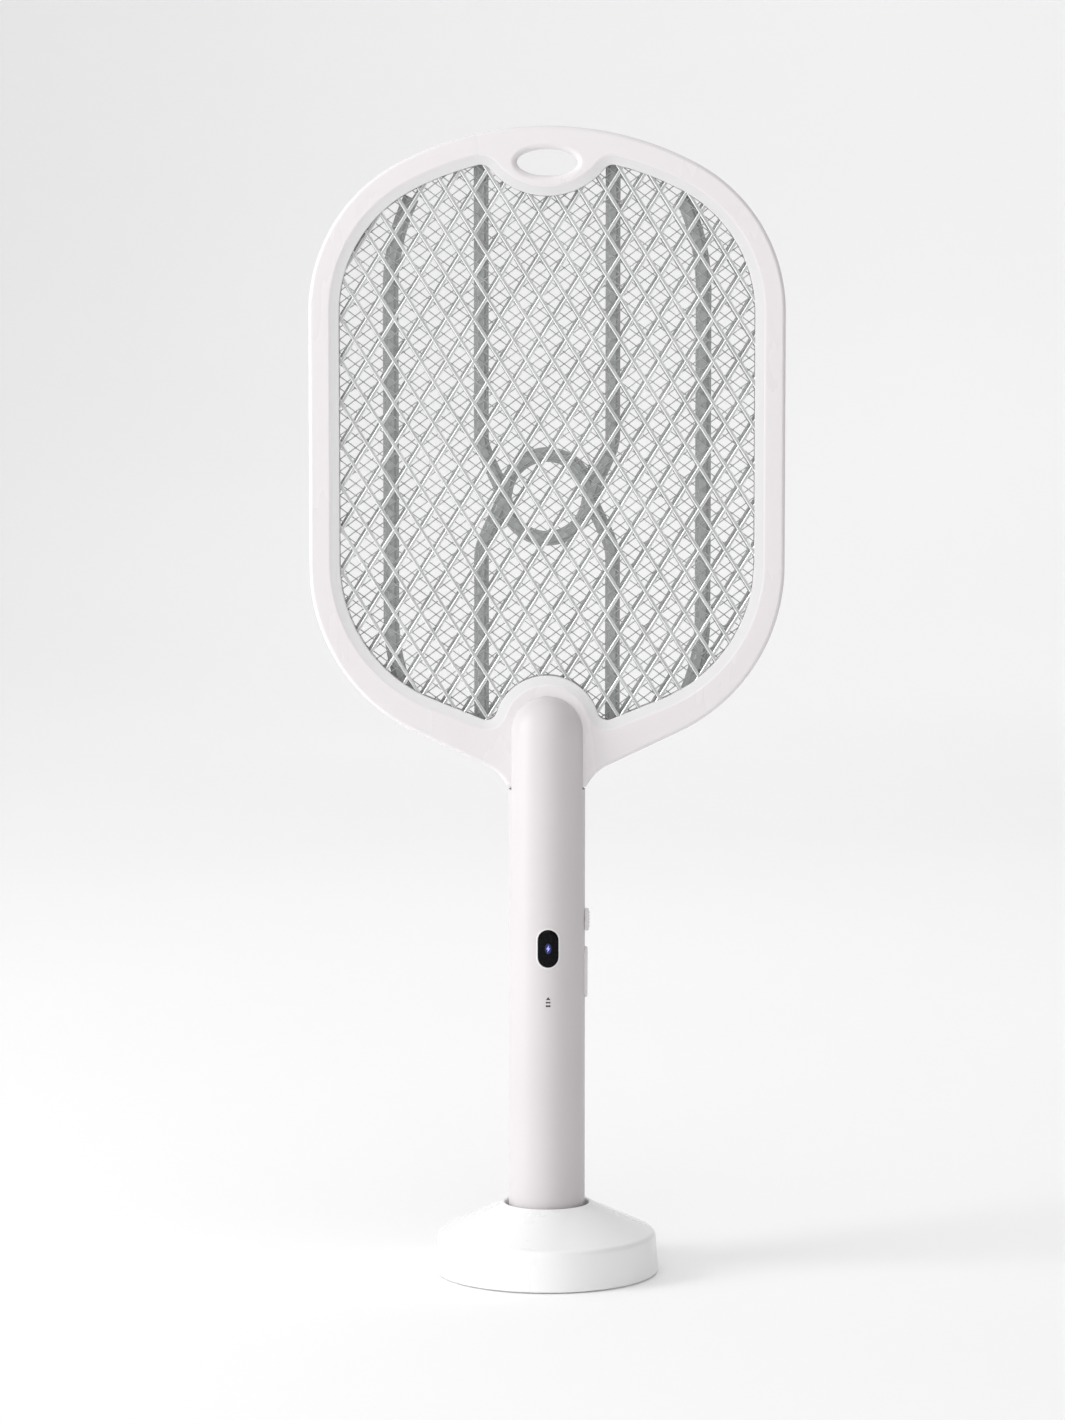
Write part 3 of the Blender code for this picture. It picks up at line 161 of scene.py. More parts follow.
class Nodes:
    """The node tree of a material or the world, with short ways to add the nodes used here."""

    def __init__(self, name, store=bpy.data.materials, shader="Principled BSDF", space="Object"):
        self.owner = store.new(name)
        self.owner.use_nodes = True
        self.tree = self.owner.node_tree
        self.shader = self.tree.nodes[shader]
        self.coordinates = self.tree.nodes.new("ShaderNodeTexCoord").outputs[space]

    def add(self, kind, numbers=None, **settings):
        """A new node with its settings, and plain numbers on its inputs."""
        node = self.tree.nodes.new(kind)
        for key, value in settings.items():
            setattr(node, key, value)
        for key, value in (numbers or {}).items():
            node.inputs[key].default_value = value
        return node

    def link(self, source, target):
        self.tree.links.new(source, target)

    def stretched(self, scale, turn=(0, 0, 0)):
        """The coordinates scaled by a different amount along each axis."""
        mapping = self.add("ShaderNodeMapping", {"Scale": scale, "Rotation": turn})
        self.link(self.coordinates, mapping.inputs["Vector"])
        return mapping.outputs["Vector"]

    def noise(self, scale, detail=3.0, where=None):
        node = self.add("ShaderNodeTexNoise", {"Scale": scale, "Detail": detail})
        self.link(where or self.coordinates, node.inputs["Vector"])
        return node.outputs["Fac"]

    def ramp(self, value, low, high, low_colour, high_colour):
        node = self.add("ShaderNodeValToRGB")
        stops = ((low, low_colour), (high, high_colour))
        for element, (position, colour) in zip(node.color_ramp.elements, stops):
            element.position = position
            element.color = (*colour, 1)
        self.link(value, node.inputs["Fac"])
        return node.outputs["Color"]

    def spread(self, value, low, high, start=0.3, end=0.7):
        """The value from start to end carried over to low to high."""
        numbers = {"From Min": start, "From Max": end, "To Min": low, "To Max": high}
        node = self.add("ShaderNodeMapRange", numbers)
        self.link(value, node.inputs["Value"])
        return node.outputs["Result"]

    def sum(self, first, second):
        node = self.add("ShaderNodeMath")
        self.link(first, node.inputs[0])
        self.link(second, node.inputs[1])
        return node.outputs[0]

    def bump(self, height, strength, depth):
        node = self.add("ShaderNodeBump", {"Strength": strength, "Distance": depth})
        self.link(height, node.inputs["Height"])
        self.link(node.outputs["Normal"], self.shader.inputs["Normal"])

    def colour(self, *stops):
        """Base colour from the same terms as a ramp."""
        tone = self.ramp(*stops)
        self.link(tone, self.shader.inputs["Base Color"])
        return tone

    def rough(self, *terms):
        """Roughness from the same terms as a spread."""
        self.link(self.spread(*terms), self.shader.inputs["Roughness"])

    def fixed(self, **values):
        """Sets plain numbers on the shader's own sockets."""
        for key, value in values.items():
            self.shader.inputs[key.replace("_", " ")].default_value = value


def moulded(name, colour, shade, low_rough, high_rough, coat=0.0, grain=2600, drift=17, shine=0.5):
    """Moulded plastic: slow drift of tone, a fine spark-eroded grain and faint rub marks."""
    made = Nodes(name)
    slow = made.noise(drift, 1.0)
    fine = made.noise(grain, 2.0)
    rubs = made.noise(160, 3.0, made.stretched((1.0, 1.0, 0.12), (0.15, 0.1, 0)))
    made.colour(slow, 0.15, 0.85, shade, colour)
    worn = made.spread(slow, low_rough, high_rough, 0.15, 0.85)
    worn = made.sum(worn, made.spread(rubs, 0.0, 0.04, 0.3, 0.9))
    made.link(worn, made.shader.inputs["Roughness"])
    made.bump(fine, 0.3, 0.006 * MM)
    made.fixed(Coat_Weight=coat, Coat_Roughness=0.12, Specular_IOR_Level=shine)
    return made.owner


def bright_wire(name, colour, dull, low_rough, high_rough, metal=0.85):
    """Plated wire with dull patches and small pits."""
    made = Nodes(name)
    patches = made.noise(55, 4.0)
    pits = made.noise(1900, 3.0)
    made.colour(patches, 0.35, 0.7, dull, colour)
    made.rough(patches, high_rough, low_rough)
    made.bump(pits, 0.4, 0.01 * MM)
    made.fixed(Metallic=metal)
    return made.owner


def plated(name, colour, dull, low_rough, high_rough, grain=900):
    """A plated or turned metal part with turning marks and light tarnish."""
    made = Nodes(name)
    tarnish = made.noise(320, 4.0)
    marks = made.noise(grain, 2.0, made.stretched((1.0, 1.0, 6.0)))
    made.colour(tarnish, 0.35, 0.7, dull, colour)
    made.rough(marks, low_rough, high_rough)
    made.bump(marks, 0.3, 0.01 * MM)
    made.fixed(Metallic=1.0)
    return made.owner


def smoked_lens():
    """Black acrylic, polished, with a hint of dust and hairlines."""
    made = Nodes("lens_black")
    dust = made.noise(900, 5.0)
    lines = made.noise(600, 2.0, made.stretched((1.0, 1.0, 0.05), (0, 0.5, 0)))
    made.colour(dust, 0.5, 0.9, (0.002, 0.002, 0.003), (0.012, 0.012, 0.014))
    made.rough(lines, 0.04, 0.1)
    made.bump(lines, 0.1, 0.002 * MM)
    made.fixed(Specular_IOR_Level=0.1)
    return made.owner


def glowing(name, colour, strength):
    """A lit symbol, a little uneven in brightness."""
    made = Nodes(name)
    uneven = made.noise(1200, 2.0)
    tone = made.colour(uneven, 0.2, 0.8, tuple(0.75 * part for part in colour), colour)
    made.link(tone, made.shader.inputs["Emission Color"])
    made.rough(uneven, 0.3, 0.5)
    made.fixed(Emission_Strength=strength)
    return made.owner


def ink(name, colour):
    """Printed ink with slightly uneven cover."""
    made = Nodes(name)
    cover = made.noise(5200, 3.0)
    made.colour(cover, 0.3, 0.8, colour, tuple(part * 1.8 + 0.01 for part in colour))
    made.rough(cover, 0.4, 0.6)
    return made.owner


def foam_rubber():
    """Dark foam with open cells."""
    made = Nodes("foam_black")
    voronoi = made.add("ShaderNodeTexVoronoi", {"Scale": 1500})
    made.link(made.coordinates, voronoi.inputs["Vector"])
    cells = voronoi.outputs["Distance"]
    made.colour(cells, 0.1, 0.7, (0.012, 0.012, 0.013), (0.07, 0.07, 0.072))
    made.rough(made.noise(150), 0.8, 0.95)
    made.bump(cells, 0.8, 0.15 * MM)
    return made.owner


def circuit_green():
    """A coated circuit board with copper tracks under the green."""
    made = Nodes("circuit_green")
    numbers = {
        "Scale": 260,
        "Mortar Size": 0.09,
        "Mortar Smooth": 0.3,
        "Color1": (0.012, 0.10, 0.045, 1),
        "Color2": (0.02, 0.15, 0.06, 1),
        "Mortar": (0.10, 0.32, 0.12, 1),
    }
    brick = made.add("ShaderNodeTexBrick", numbers)
    made.link(made.stretched((1, 1, 1), (radians(90), 0, 0)), brick.inputs["Vector"])
    cloth = made.noise(1500, 2.0)
    made.link(brick.outputs["Color"], made.shader.inputs["Base Color"])
    made.rough(cloth, 0.25, 0.45)
    made.bump(made.sum(brick.outputs["Fac"], cloth), 0.4, 0.03 * MM)
    return made.owner


def wrapped_cell():
    """The cell's shrink sleeve, tight and slightly rippled."""
    made = Nodes("cell_sleeve")
    ripples = made.noise(60, 3.0, made.stretched((1.0, 1.0, 4.0)))
    made.colour(ripples, 0.3, 0.7, (0.02, 0.12, 0.32), (0.04, 0.2, 0.46))
    made.rough(ripples, 0.22, 0.4)
    made.bump(ripples, 0.4, 0.08 * MM)
    return made.owner


def banded(name, first, second, pitch, rough):
    """Bands along the height, for windings, tape and coded rings."""
    made = Nodes(name)
    numbers = {"Scale": 1.0 / (pitch * 3.18), "Distortion": 0.6}
    wave = made.add("ShaderNodeTexWave", numbers, bands_direction="Z")
    made.link(made.coordinates, wave.inputs["Vector"])
    made.colour(wave.outputs["Fac"], 0.3, 0.7, first, second)
    made.rough(made.noise(400), rough - 0.08, rough + 0.1)
    made.bump(wave.outputs["Fac"], 0.5, 0.05 * MM)
    return made.owner


def insulated(name, colour):
    """Soft wire insulation with a waxy mottle."""
    made = Nodes(name)
    mottle = made.noise(700, 3.0)
    made.colour(mottle, 0.3, 0.7, tuple(part * 0.7 for part in colour), colour)
    made.rough(mottle, 0.35, 0.55)
    made.bump(mottle, 0.3, 0.02 * MM)
    return made.owner


def clear_acrylic():
    """A frosted clear block."""
    made = Nodes("guide_clear")
    frost = made.noise(1800, 3.0)
    made.colour(frost, 0.3, 0.7, (0.75, 0.82, 0.88), (0.88, 0.93, 0.97))
    made.rough(frost, 0.25, 0.5)
    made.fixed(Transmission_Weight=0.6, IOR=1.49)
    return made.owner


# ---- shapes ----


def arc(centre, radius, start, end, count):
    """Points of an arc in the head's plane, angles in degrees from +X towards +Z."""
    turn = [radians(start + (end - start) * step / count) for step in range(count + 1)]
    return [(centre[0] + radius * cos(a), centre[1] + radius * sin(a)) for a in turn]


def near(point, *offsets):
    """Points at offsets in millimetres from a point."""
    return [(point[0] + across * MM, point[1] + up * MM) for across, up in offsets]


def middle(node, axis):
    """The middle of a CAD node's box along one axis."""
    low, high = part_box(node)
    return (low[axis] + high[axis]) / 2


def mirrored(right_half):
    """The right half of a closed outline, top to bottom, followed by its mirror image."""
    left_half = [(-x, z) for x, z in reversed(right_half) if abs(x) > 0.01 * MM]
    return right_half + left_half


def inset(outline, distance):
    """The outline moved inward by a distance, each corner kept sharp."""
    corners = [Vector(point) for point in outline]
    befores = corners[-1:] + corners[:-1]
    afters = corners[1:] + corners[:1]
    area = sum(here.x * after.y - after.x * here.y for here, after in zip(corners, afters))
    side = 1 if area > 0 else -1
    moved = []
    for before, here, after in zip(befores, corners, afters):
        arriving = (here - before).normalized()
        leaving = (after - here).normalized()
        normal = Vector((-arriving.y - leaving.y, arriving.x + leaving.x)).normalized() * side
        stretch = max(0.4, normal.dot(Vector((-leaving.y, leaving.x)) * side))
        moved.append(tuple(here + normal * distance / stretch))
    return moved


def add_bands(bm, rings):
    """Bands of quads, each between one closed ring of vertices and the next."""
    for first, second in zip(rings, rings[1:]):
        count = len(first)
        for i in range(count):
            j = (i + 1) % count
            bm.faces.new((first[i], first[j], second[j], second[i]))


def loft_plate(bm, edges):
    """A flat plate from closed outlines, each with its (inset, y) steps from front to back."""
    fronts = []
    backs = []
    for outline, steps in edges:
        rings = [[bm.verts.new((x, y, z)) for x, z in inset(outline, d)] for d, y in steps]
        add_bands(bm, rings)
        fronts.append(rings[0])
        backs.append(rings[-1])
    for side in (fronts, backs):
        borders = []
        for ring in side:
            borders += [bm.edges.get((ring[i - 1], ring[i])) for i in range(len(ring))]
        bmesh.ops.triangle_fill(bm, use_beauty=True, edges=borders)


def rounding(inset_from, depth_from, across, down, count):
    """(inset, depth) steps of a quarter-round edge that starts on a flat face."""
    turns = [radians(90 * step / count) for step in range(count + 1)]
    return [(inset_from - across * sin(a), depth_from - down * (1 - cos(a))) for a in turns]


def facing(side, steps):
    """(inset, depth) steps as (inset, y) steps on one side: -1 is the front, 1 the back."""
    return [(across, side * depth) for across, depth in steps]


def sweep(bm, path, section):
    """A section of (across, y) points carried along an open path in the head's plane."""
    rings = []
    last = len(path) - 1
    for i, point in enumerate(path):
        along = (Vector(path[min(i + 1, last)]) - Vector(path[max(i - 1, 0)])).normalized()
        normal = Vector((-along.y, along.x))
        spots = [Vector(point) + normal * across for across, _ in section]
        rings.append([bm.verts.new((s.x, y, s.y)) for s, (_, y) in zip(spots, section)])
    add_bands(bm, rings)
    bm.faces.new(rings[0])
    bm.faces.new(rings[-1])


def lathe(name, profile, steps):
    """A profile of (radius, height) points turned about the Z axis; the axis closes its ends."""
    bm = bmesh.new()
    turns = [2 * pi * step / steps for step in range(steps)]
    rings = []
    for radius, height in profile:
        spots = [(radius * cos(a), radius * sin(a), height) for a in turns]
        if radius < 1e-7:
            spots = [(0, 0, height)]
        rings.append([bm.verts.new(spot) for spot in spots])
    pairs = list(zip(rings, rings[1:]))
    if len(rings[0]) > 1 and len(rings[-1]) > 1:
        pairs.append((rings[-1], rings[0]))
    for first, second in pairs:
        for i in range(steps):
            j = (i + 1) % steps
            places = ((first, i), (first, j), (second, j), (second, i))
            corners = [ring[place % len(ring)] for ring, place in places]
            bm.faces.new(list(dict.fromkeys(corners)))
    return to_object(name, bm)


def round_profile(profile, radius, count=3):
    """The same profile with its corners rounded off."""
    made = [profile[0]]
    for before, corner, after in zip(profile, profile[1:], profile[2:]):
        to_before = Vector(before) - Vector(corner)
        to_after = Vector(after) - Vector(corner)
        reach = min(radius, to_before.length * 0.45, to_after.length * 0.45)
        start = Vector(corner) + to_before.normalized() * reach
        end = Vector(corner) + to_after.normalized() * reach
        for step in range(count + 1):
            t = step / count
            point = start * (1 - t) ** 2 + Vector(corner) * 2 * t * (1 - t) + end * t * t
            made.append(tuple(point))
    made.append(profile[-1])
    return made


def dress(obj, looks, edge=32):
    """Gives a mesh its material and smooth shading that breaks at sharp edges."""
    mesh = obj.data
    mesh.materials.clear()
    mesh.materials.append(looks)
    mesh.polygons.foreach_set("use_smooth", [True] * len(mesh.polygons))
    mesh.set_sharp_from_angle(angle=radians(edge))


def to_object(name, bm):
    bmesh.ops.recalc_face_normals(bm, faces=bm.faces)
    mesh = bpy.data.meshes.new(name)
    bm.to_mesh(mesh)
    bm.free()
    obj = bpy.data.objects.new(name, mesh)
    bpy.context.scene.collection.objects.link(obj)
    return obj


def place(obj, body, looks, nodes=(), slot=None, edge=32, weighted=True):
    """Dresses a piece, fixes it to a body and says which CAD nodes it stands for."""
    dress(obj, looks, edge)
    if weighted:
        normals = obj.modifiers.new("even_shading", "WEIGHTED_NORMAL")
        normals.keep_sharp = True
        normals.weight = 80
    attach(obj, body)
    if nodes:
        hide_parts(*nodes)
    return obj


def cut(obj, *cutters):
    """Takes closed shapes out of an object, for good."""
    for cutter in cutters:
        step = obj.modifiers.new("cut", "BOOLEAN")
        step.solver = "EXACT"
        step.object = cutter
        bpy.context.view_layer.update()
        graph = bpy.context.evaluated_depsgraph_get()
        mesh = bpy.data.meshes.new_from_object(obj.evaluated_get(graph))
        obj.modifiers.clear()
        obj.data = mesh
        bpy.data.objects.remove(cutter, do_unlink=True)


def block(low, high):
    """A plain cutter between two corners."""
    bm = bmesh.new()
    bmesh.ops.create_cube(bm, size=1.0)
    low = Vector(low)
    high = Vector(high)
    bmesh.ops.scale(bm, vec=high - low, verts=bm.verts)
    bmesh.ops.translate(bm, vec=(low + high) / 2, verts=bm.verts)
    return to_object("cutter", bm)


def drill(start, end, radius):
    """A round cutter between two points."""
    bm = bmesh.new()
    along = Vector(end) - Vector(start)
    depth = along.length
    bmesh.ops.create_cone(bm, cap_ends=True, segments=32, radius1=radius, radius2=radius, depth=depth)
    turn = along.to_track_quat("Z", "Y").to_matrix().to_4x4()
    bm.transform(Matrix.Translation((Vector(start) + Vector(end)) / 2) @ turn)
    return to_object("cutter", bm)


def stadium(width, height, count, centre=(0, 0)):
    """A slot's outline with round ends, standing upright."""
    radius = width / 2
    straight = height / 2 - radius
    upper = arc((centre[0], centre[1] + straight), radius, 0, 180, count)
    lower = arc((centre[0], centre[1] - straight), radius, 180, 360, count)
    return upper + lower


def bar(outline, low, high):
    """A straight block of an outline, running from low to high along Y."""
    bm = bmesh.new()
    loft_plate(bm, [(outline, [(0, low), (0, high)])])
    return to_object("cutter", bm)


# ---- the head ----


def head_outline():
    """Outer edge of the head ring, ending in the tongue inside the handle."""
    half = arc((0, CROWN_Z), TOP_R, 90, CROWN_MEETS, 26)
    half += arc((SHOULDER_X, SHOULDER_Z), SHOULDER_R, CROWN_MEETS - 2, 0, 34)
    half += arc((JOWL_X, JOWL_Z), JOWL_R, 0, CHIN_SLOPE - 90, 34)
    corner_x = HANDLE_R + 0.6 * MM + NECK_R * cos(radians(180 - NECK_STEEP))
    corner_z = NECK_Z - NECK_R * sin(radians(180 - NECK_STEEP))
    half += arc((corner_x, corner_z), NECK_R, 90 + CHIN_SLOPE, NECK_STEEP, 10)
    half += [(HANDLE_R - 2.4 * MM, NECK_Z - 0.8 * MM), (12 * MM, NECK_Z - 2 * MM)]
    half += [(12 * MM, RING_LOW[2])]
    return mirrored(half)


def window_outline():
    """Inner edge of the head ring, round the tab at the top and the arch over the handle."""
    side_x = HEAD_HALF - RING_WIDTH
    half = arc((0, TAB_Z), TAB_R, -90, TAB_ENDS, 16)
    half += arc(TAB_CORNER, TAB_CORNER_R, 132, 80, 6)
    half += arc((0, CROWN_Z), TOP_R - RING_WIDTH, 75.5, CROWN_MEETS, 9)
    half += arc((SHOULDER_X, SHOULDER_Z), SHOULDER_R - RING_WIDTH, CROWN_MEETS - 2.5, 0, 26)
    half += arc((side_x - LOW_CORNER_R, LOW_CORNER_Z), LOW_CORNER_R, 0, LOW_CORNER_ENDS, 26)
    half += arc(ARCH_CORNER, ARCH_CORNER_R, LOW_CORNER_ENDS, ARCH_CORNER_ENDS, 9)
    half += arc((0, ARCH_Z), ARCH_R, 22, 90, 16)
    return mirrored(half)


def eye_outline():
    """The hanging eye: wider than tall, and a little flatter above."""
    points = []
    for step in range(56):
        turn = 2 * pi * step / 56
        height = EYE_HALF_Z * (0.93 if sin(turn) > 0 else 1.0)
        points.append((EYE_HALF_X * cos(turn), EYE_Z + height * sin(turn)))
    return points


def screw_spots():
    """The places of the six screws round the head ring."""
    nodes = [f"head_screw_{index}" for index in range(1, 7)]
    return [(middle(node, 0), middle(node, 2)) for node in nodes]


def ring_edges(side):
    """The ring's outer edge, window and eye, front to back for one half."""
    outer = [(2.1 * MM, FACE_Y)]
    outer += rounding(1.7 * MM, FACE_Y, 1.7 * MM, 1.8 * MM, 8)
    outer += [(0.0, 0.55 * MM), (0.3 * MM, GAP / 2)]
    window = near((-BEVEL_WIDTH, FACE_Y), (-1.1, 0), (-0.9, 0), (-0.35, -0.06), (0, -0.25))
    window += near((0, LIP_Y), (-0.5, 0.5), (-0.12, 0.38), (0, 0.2), (0, 0))
    window += [(-POCKET, LIP_Y), (-POCKET, GAP / 2)]
    eye = near((0, FACE_Y), (-2.9, 0), (-2.5, 0), (-1.9, -0.12))
    eye += near((0, FACE_Y), (-1.2, -0.5), (-0.5, -1.2), (-0.1, -2.2))
    eye += [(0.0, GAP / 2)]
    edges = ((head_outline(), outer), (window_outline(), window), (eye_outline(), eye))
    return [(outline, facing(side, steps)) for outline, steps in edges]


def head_ring(name, side, node, looks):
    """One half of the head's ring; the rear half has sunk seats for its screws."""
    edges = ring_edges(side)
    if side > 0:
        seat = near((0, FACE_Y), (-0.35, 0), (0, -0.35), (0, -2), (1.1, -2))
        seat += [(1.1 * MM, GAP / 2)]
        edges += [(arc(spot, 2.45 * MM, 0, 345, 23), seat) for spot in screw_spots()]
    bm = bmesh.new()
    loft_plate(bm, edges)
    ring = place(to_object(name, bm), "swatter", looks[0], [node])
    # The window's bevel faces get the second material, a darker white that is painted shade.
    ring.data.materials.append(looks[1])
    for face in ring.data.polygons:
        depth = abs(face.center.y)
        slope = abs(face.normal.y)
        face.material_index = int(LIP_Y < depth < FACE_Y - 0.2 * MM and 0.9 < slope < 0.995)


def inside_stretches(outline, point, direction):
    """The stretches of a straight line that lie inside an outline, as pairs of end points."""
    crossings = []
    for (x1, z1), (x2, z2) in zip(outline, outline[1:] + outline[:1]):
        side_1 = direction[0] * (z1 - point[1]) - direction[1] * (x1 - point[0])
        side_2 = direction[0] * (z2 - point[1]) - direction[1] * (x2 - point[0])
        if (side_1 < 0) != (side_2 < 0):
            share = side_1 / (side_1 - side_2)
            crossings.append((x1 + (x2 - x1) * share, z1 + (z2 - z1) * share))
    crossings.sort()
    return list(zip(crossings[::2], crossings[1::2]))


def diagonal_lines(pitch, crossing):
    """Every diagonal of a diamond grid inside the head: its two ends and which way it leans."""
    outline = inset(window_outline(), -POCKET + 0.6 * MM)
    columns = int(2.6 * TOP_Z / pitch[0])
    for lean in (1, -1):
        direction = (pitch[0], lean * pitch[1])
        for column in range(-columns, columns):
            start = (crossing[0] + column * pitch[0], crossing[1])
            for first, second in inside_stretches(outline, start, direction):
                yield first, second, lean


def flat_strand(half_width, half_depth, y):
    """A flat strand's section with bevelled edges, about a depth y."""
    shoulder = half_width * 0.55
    front = [(-half_width, y), (-shoulder, y - half_depth), (shoulder, y - half_depth)]
    return front + [(half_width, y), (shoulder, y + half_depth), (-shoulder, y + half_depth)]


def guard_grid(name, node, shift, looks):
    """The coarse diamond grid: bevelled flat strands, each set of diagonals a hair apart in depth."""
    bm = bmesh.new()
    middle_y = middle(node, 1)
    crossing = (GUARD_CROSSING[0] + shift[0], GUARD_CROSSING[1] + shift[1])
    for first, second, lean in diagonal_lines(GUARD_PITCH, crossing):
        section = flat_strand(0.72 * MM, 0.3 * MM, middle_y + lean * 0.06 * MM)
        sweep(bm, [first, second], section)
    levels = (middle_y - 0.3 * MM, middle_y + 0.3 * MM)
    reaches = (-POCKET + GAP, -1.0 * MM)
    loft_plate(bm, [(window_outline(), [(reach, y) for y in levels]) for reach in reaches])
    grid = place(to_object(name, bm), "swatter", looks[0], [node], edge=20, weighted=False)
    # The strands' bevel faces take the second material; on the front grid that is a near-white painted
    # highlight.
    grid.data.materials.append(looks[1])
    for face in grid.data.polygons:
        face.material_index = int(abs(face.normal.y) < 0.9)


def live_grid(looks):
    """The fine live grid: round wires laid one set over the other, with a weld knot at each crossing.
    """
    bm = bmesh.new()
    radius = 0.24 * MM
    turn = [radians(60 * step) for step in range(6)]
    for first, second, lean in diagonal_lines(FINE_PITCH, FINE_CROSSING):
        section = [(radius * cos(a), lean * 0.14 * MM + radius * sin(a)) for a in turn]
        sweep(bm, [first, second], section)
    add_knots(bm)
    grid = to_object("live_wire_grid", bm)
    place(grid, "swatter", looks, ["high_voltage_mesh"], weighted=False)


def add_knots(bm):
    """A small eight-sided knot on each crossing of the live grid."""
    outline = window_outline()
    rows = int((TOP_Z - RING_LOW[2]) / FINE_PITCH[1]) * 2
    for row in range(-rows, rows):
        z = FINE_CROSSING[1] + row * FINE_PITCH[1] / 2
        row_x = FINE_CROSSING[0] + FINE_PITCH[0] / 2 * (row % 2)
        for first, second in inside_stretches(outline, (0, z), (1, 0)):
            column = int((first[0] - row_x) / FINE_PITCH[0]) - 1
            x = row_x + column * FINE_PITCH[0]
            while x < second[0]:
                if x > first[0]:
                    add_knot(bm, x, z, 0.46 * MM)
                x += FINE_PITCH[0]


def add_knot(bm, x, z, size):
    middle = [
        bm.verts.new((x + size * 1.3 * across, 0, z + size * up))
        for across, up in ((1, 0), (0, 1), (-1, 0), (0, -1))
    ]
    for y in (-size * 0.9, size * 0.9):
        tip = bm.verts.new((x, y, z))
        for i in range(4):
            bm.faces.new((tip, middle[i - 1], middle[i]))


def hermite(start, start_way, end, end_way, count):
    """Points of a smooth curve between two points with a direction at each."""
    points = []
    for step in range(1, count):
        t = step / count
        a = 2 * t**3 - 3 * t**2 + 1
        b = t**3 - 2 * t**2 + t
        c = -2 * t**3 + 3 * t**2
        d = t**3 - t**2
        spot = Vector(start) * a + Vector(start_way) * b + Vector(end) * c + Vector(end_way) * d
        points.append(tuple(spot))
    return points


def loop_path(way, far_z):
    """The line of one U-shaped rib; way is 1 for the loop that hangs from the crown."""
    bend_z = LOOPS_Z + LOOP_REACH
    meets = radians(-8)
    joint = (LOOP_R * cos(meets), LOOPS_Z + LOOP_R * sin(meets))
    far = LOOPS_Z + way * (far_z - LOOPS_Z)
    right = [(RIB_X, far), (RIB_X, (far + bend_z) / 2), (RIB_X, bend_z)]
    pull = 24 * MM
    right += hermite((RIB_X, bend_z), (0, -pull), joint, (pull * sin(meets), -pull * cos(meets)), 10)
    right += arc((0, LOOPS_Z), LOOP_R, -8, -90, 14)
    path = right + [(-x, z) for x, z in reversed(right[:-1])]
    return [(x, LOOPS_Z + way * (z - LOOPS_Z)) for x, z in path]


def side_path(way):
    """The line of an outer rib, leaning in at both ends."""
    top = arc((SIDE_RIB_X - 90 * MM, 430 * MM), 90 * MM, 26, 0, 8)
    bottom = arc((SIDE_RIB_X - 80 * MM, 287 * MM), 80 * MM, 0, -27, 8)
    return [(way * x, z) for x, z in top + bottom]


def rib_section(half_width, trim=0.0):
    """A rib's section: a flat flange at the back with a rounded spine on the front."""
    front = RIBS_LOW[1] + trim
    back = RIBS_HIGH[1] - trim
    step = (front + back) / 2
    half = [
        (half_width * 0.36, front),
        (half_width * 0.5, front + 0.3 * MM),
        (half_width * 0.62, step - 0.1 * MM),
        (half_width - 0.35 * MM, step),
        (half_width, step + 0.3 * MM),
        (half_width, back),
    ]
    return [(-across, y) for across, y in reversed(half)] + half


def rib_carrier(looks):
    """The carrier, coloured grey to paint the shade it sits in: two interlocked loops, two outer ribs
    and the ring that they join.
    """
    bm = bmesh.new()
    half_width = 3.2 * MM
    sweep(bm, loop_path(1, 486 * MM), rib_section(half_width))
    sweep(bm, loop_path(-1, 243.5 * MM), rib_section(half_width, 0.05 * MM))
    for way in (1, -1):
        sweep(bm, side_path(way), rib_section(half_width + 0.2 * MM, 0.02 * MM))
    front = RIBS_LOW[1]
    back = RIBS_HIGH[1]
    edges = [
        (window_outline(), [(-POCKET + GAP, front), (-POCKET + GAP, back)]),
        (window_outline(), [(-0.3 * MM, front), (-0.1 * MM, front + GAP), (-0.1 * MM, back)]),
    ]
    loft_plate(bm, edges)
    place(to_object("rib_carrier", bm), "swatter", looks, ["rib_frame"])


# ---- the handle ----


def shell_levels(radius, low_z):
    """Heights of the shell's rows with the radius at each, up the tube and over the dome."""
    levels = [(low_z + GAP, radius), (low_z + 20 * MM, radius), (SLOT_Z, radius)]
    levels += [(SLOT_Z + 0.001 * MM, radius), (DOME_Z, radius)]
    for step in range(1, 31):
        turn = radians(90 * step / 30)
        levels.append((DOME_Z + radius * sin(turn), radius * cos(turn)))
    return levels


def shell_grid(bm, radius, low_z, side, columns, groove=0.0):
    """Rows of points over one half of the handle, ending where the dome meets the ring.

    The groove draws the border in above the slot, to leave a fine seam round the dome.
    """
    rows = []
    for z, row_radius in shell_levels(radius, low_z):
        limit = FACE_Y + GAP if z > SLOT_Z else GAP / 2
        if row_radius <= limit:
            break
        start = asin(limit / row_radius)
        turns = [start + (pi - 2 * start) * i / columns for i in range(columns + 1)]
        reach = [row_radius] * (columns + 1)
        if z > SLOT_Z:
            reach[0] -= groove
            reach[-1] -= groove
        spots = [(r * cos(a), side * r * sin(a), z) for r, a in zip(reach, turns)]
        rows.append([bm.verts.new(spot) for spot in spots])
    return rows


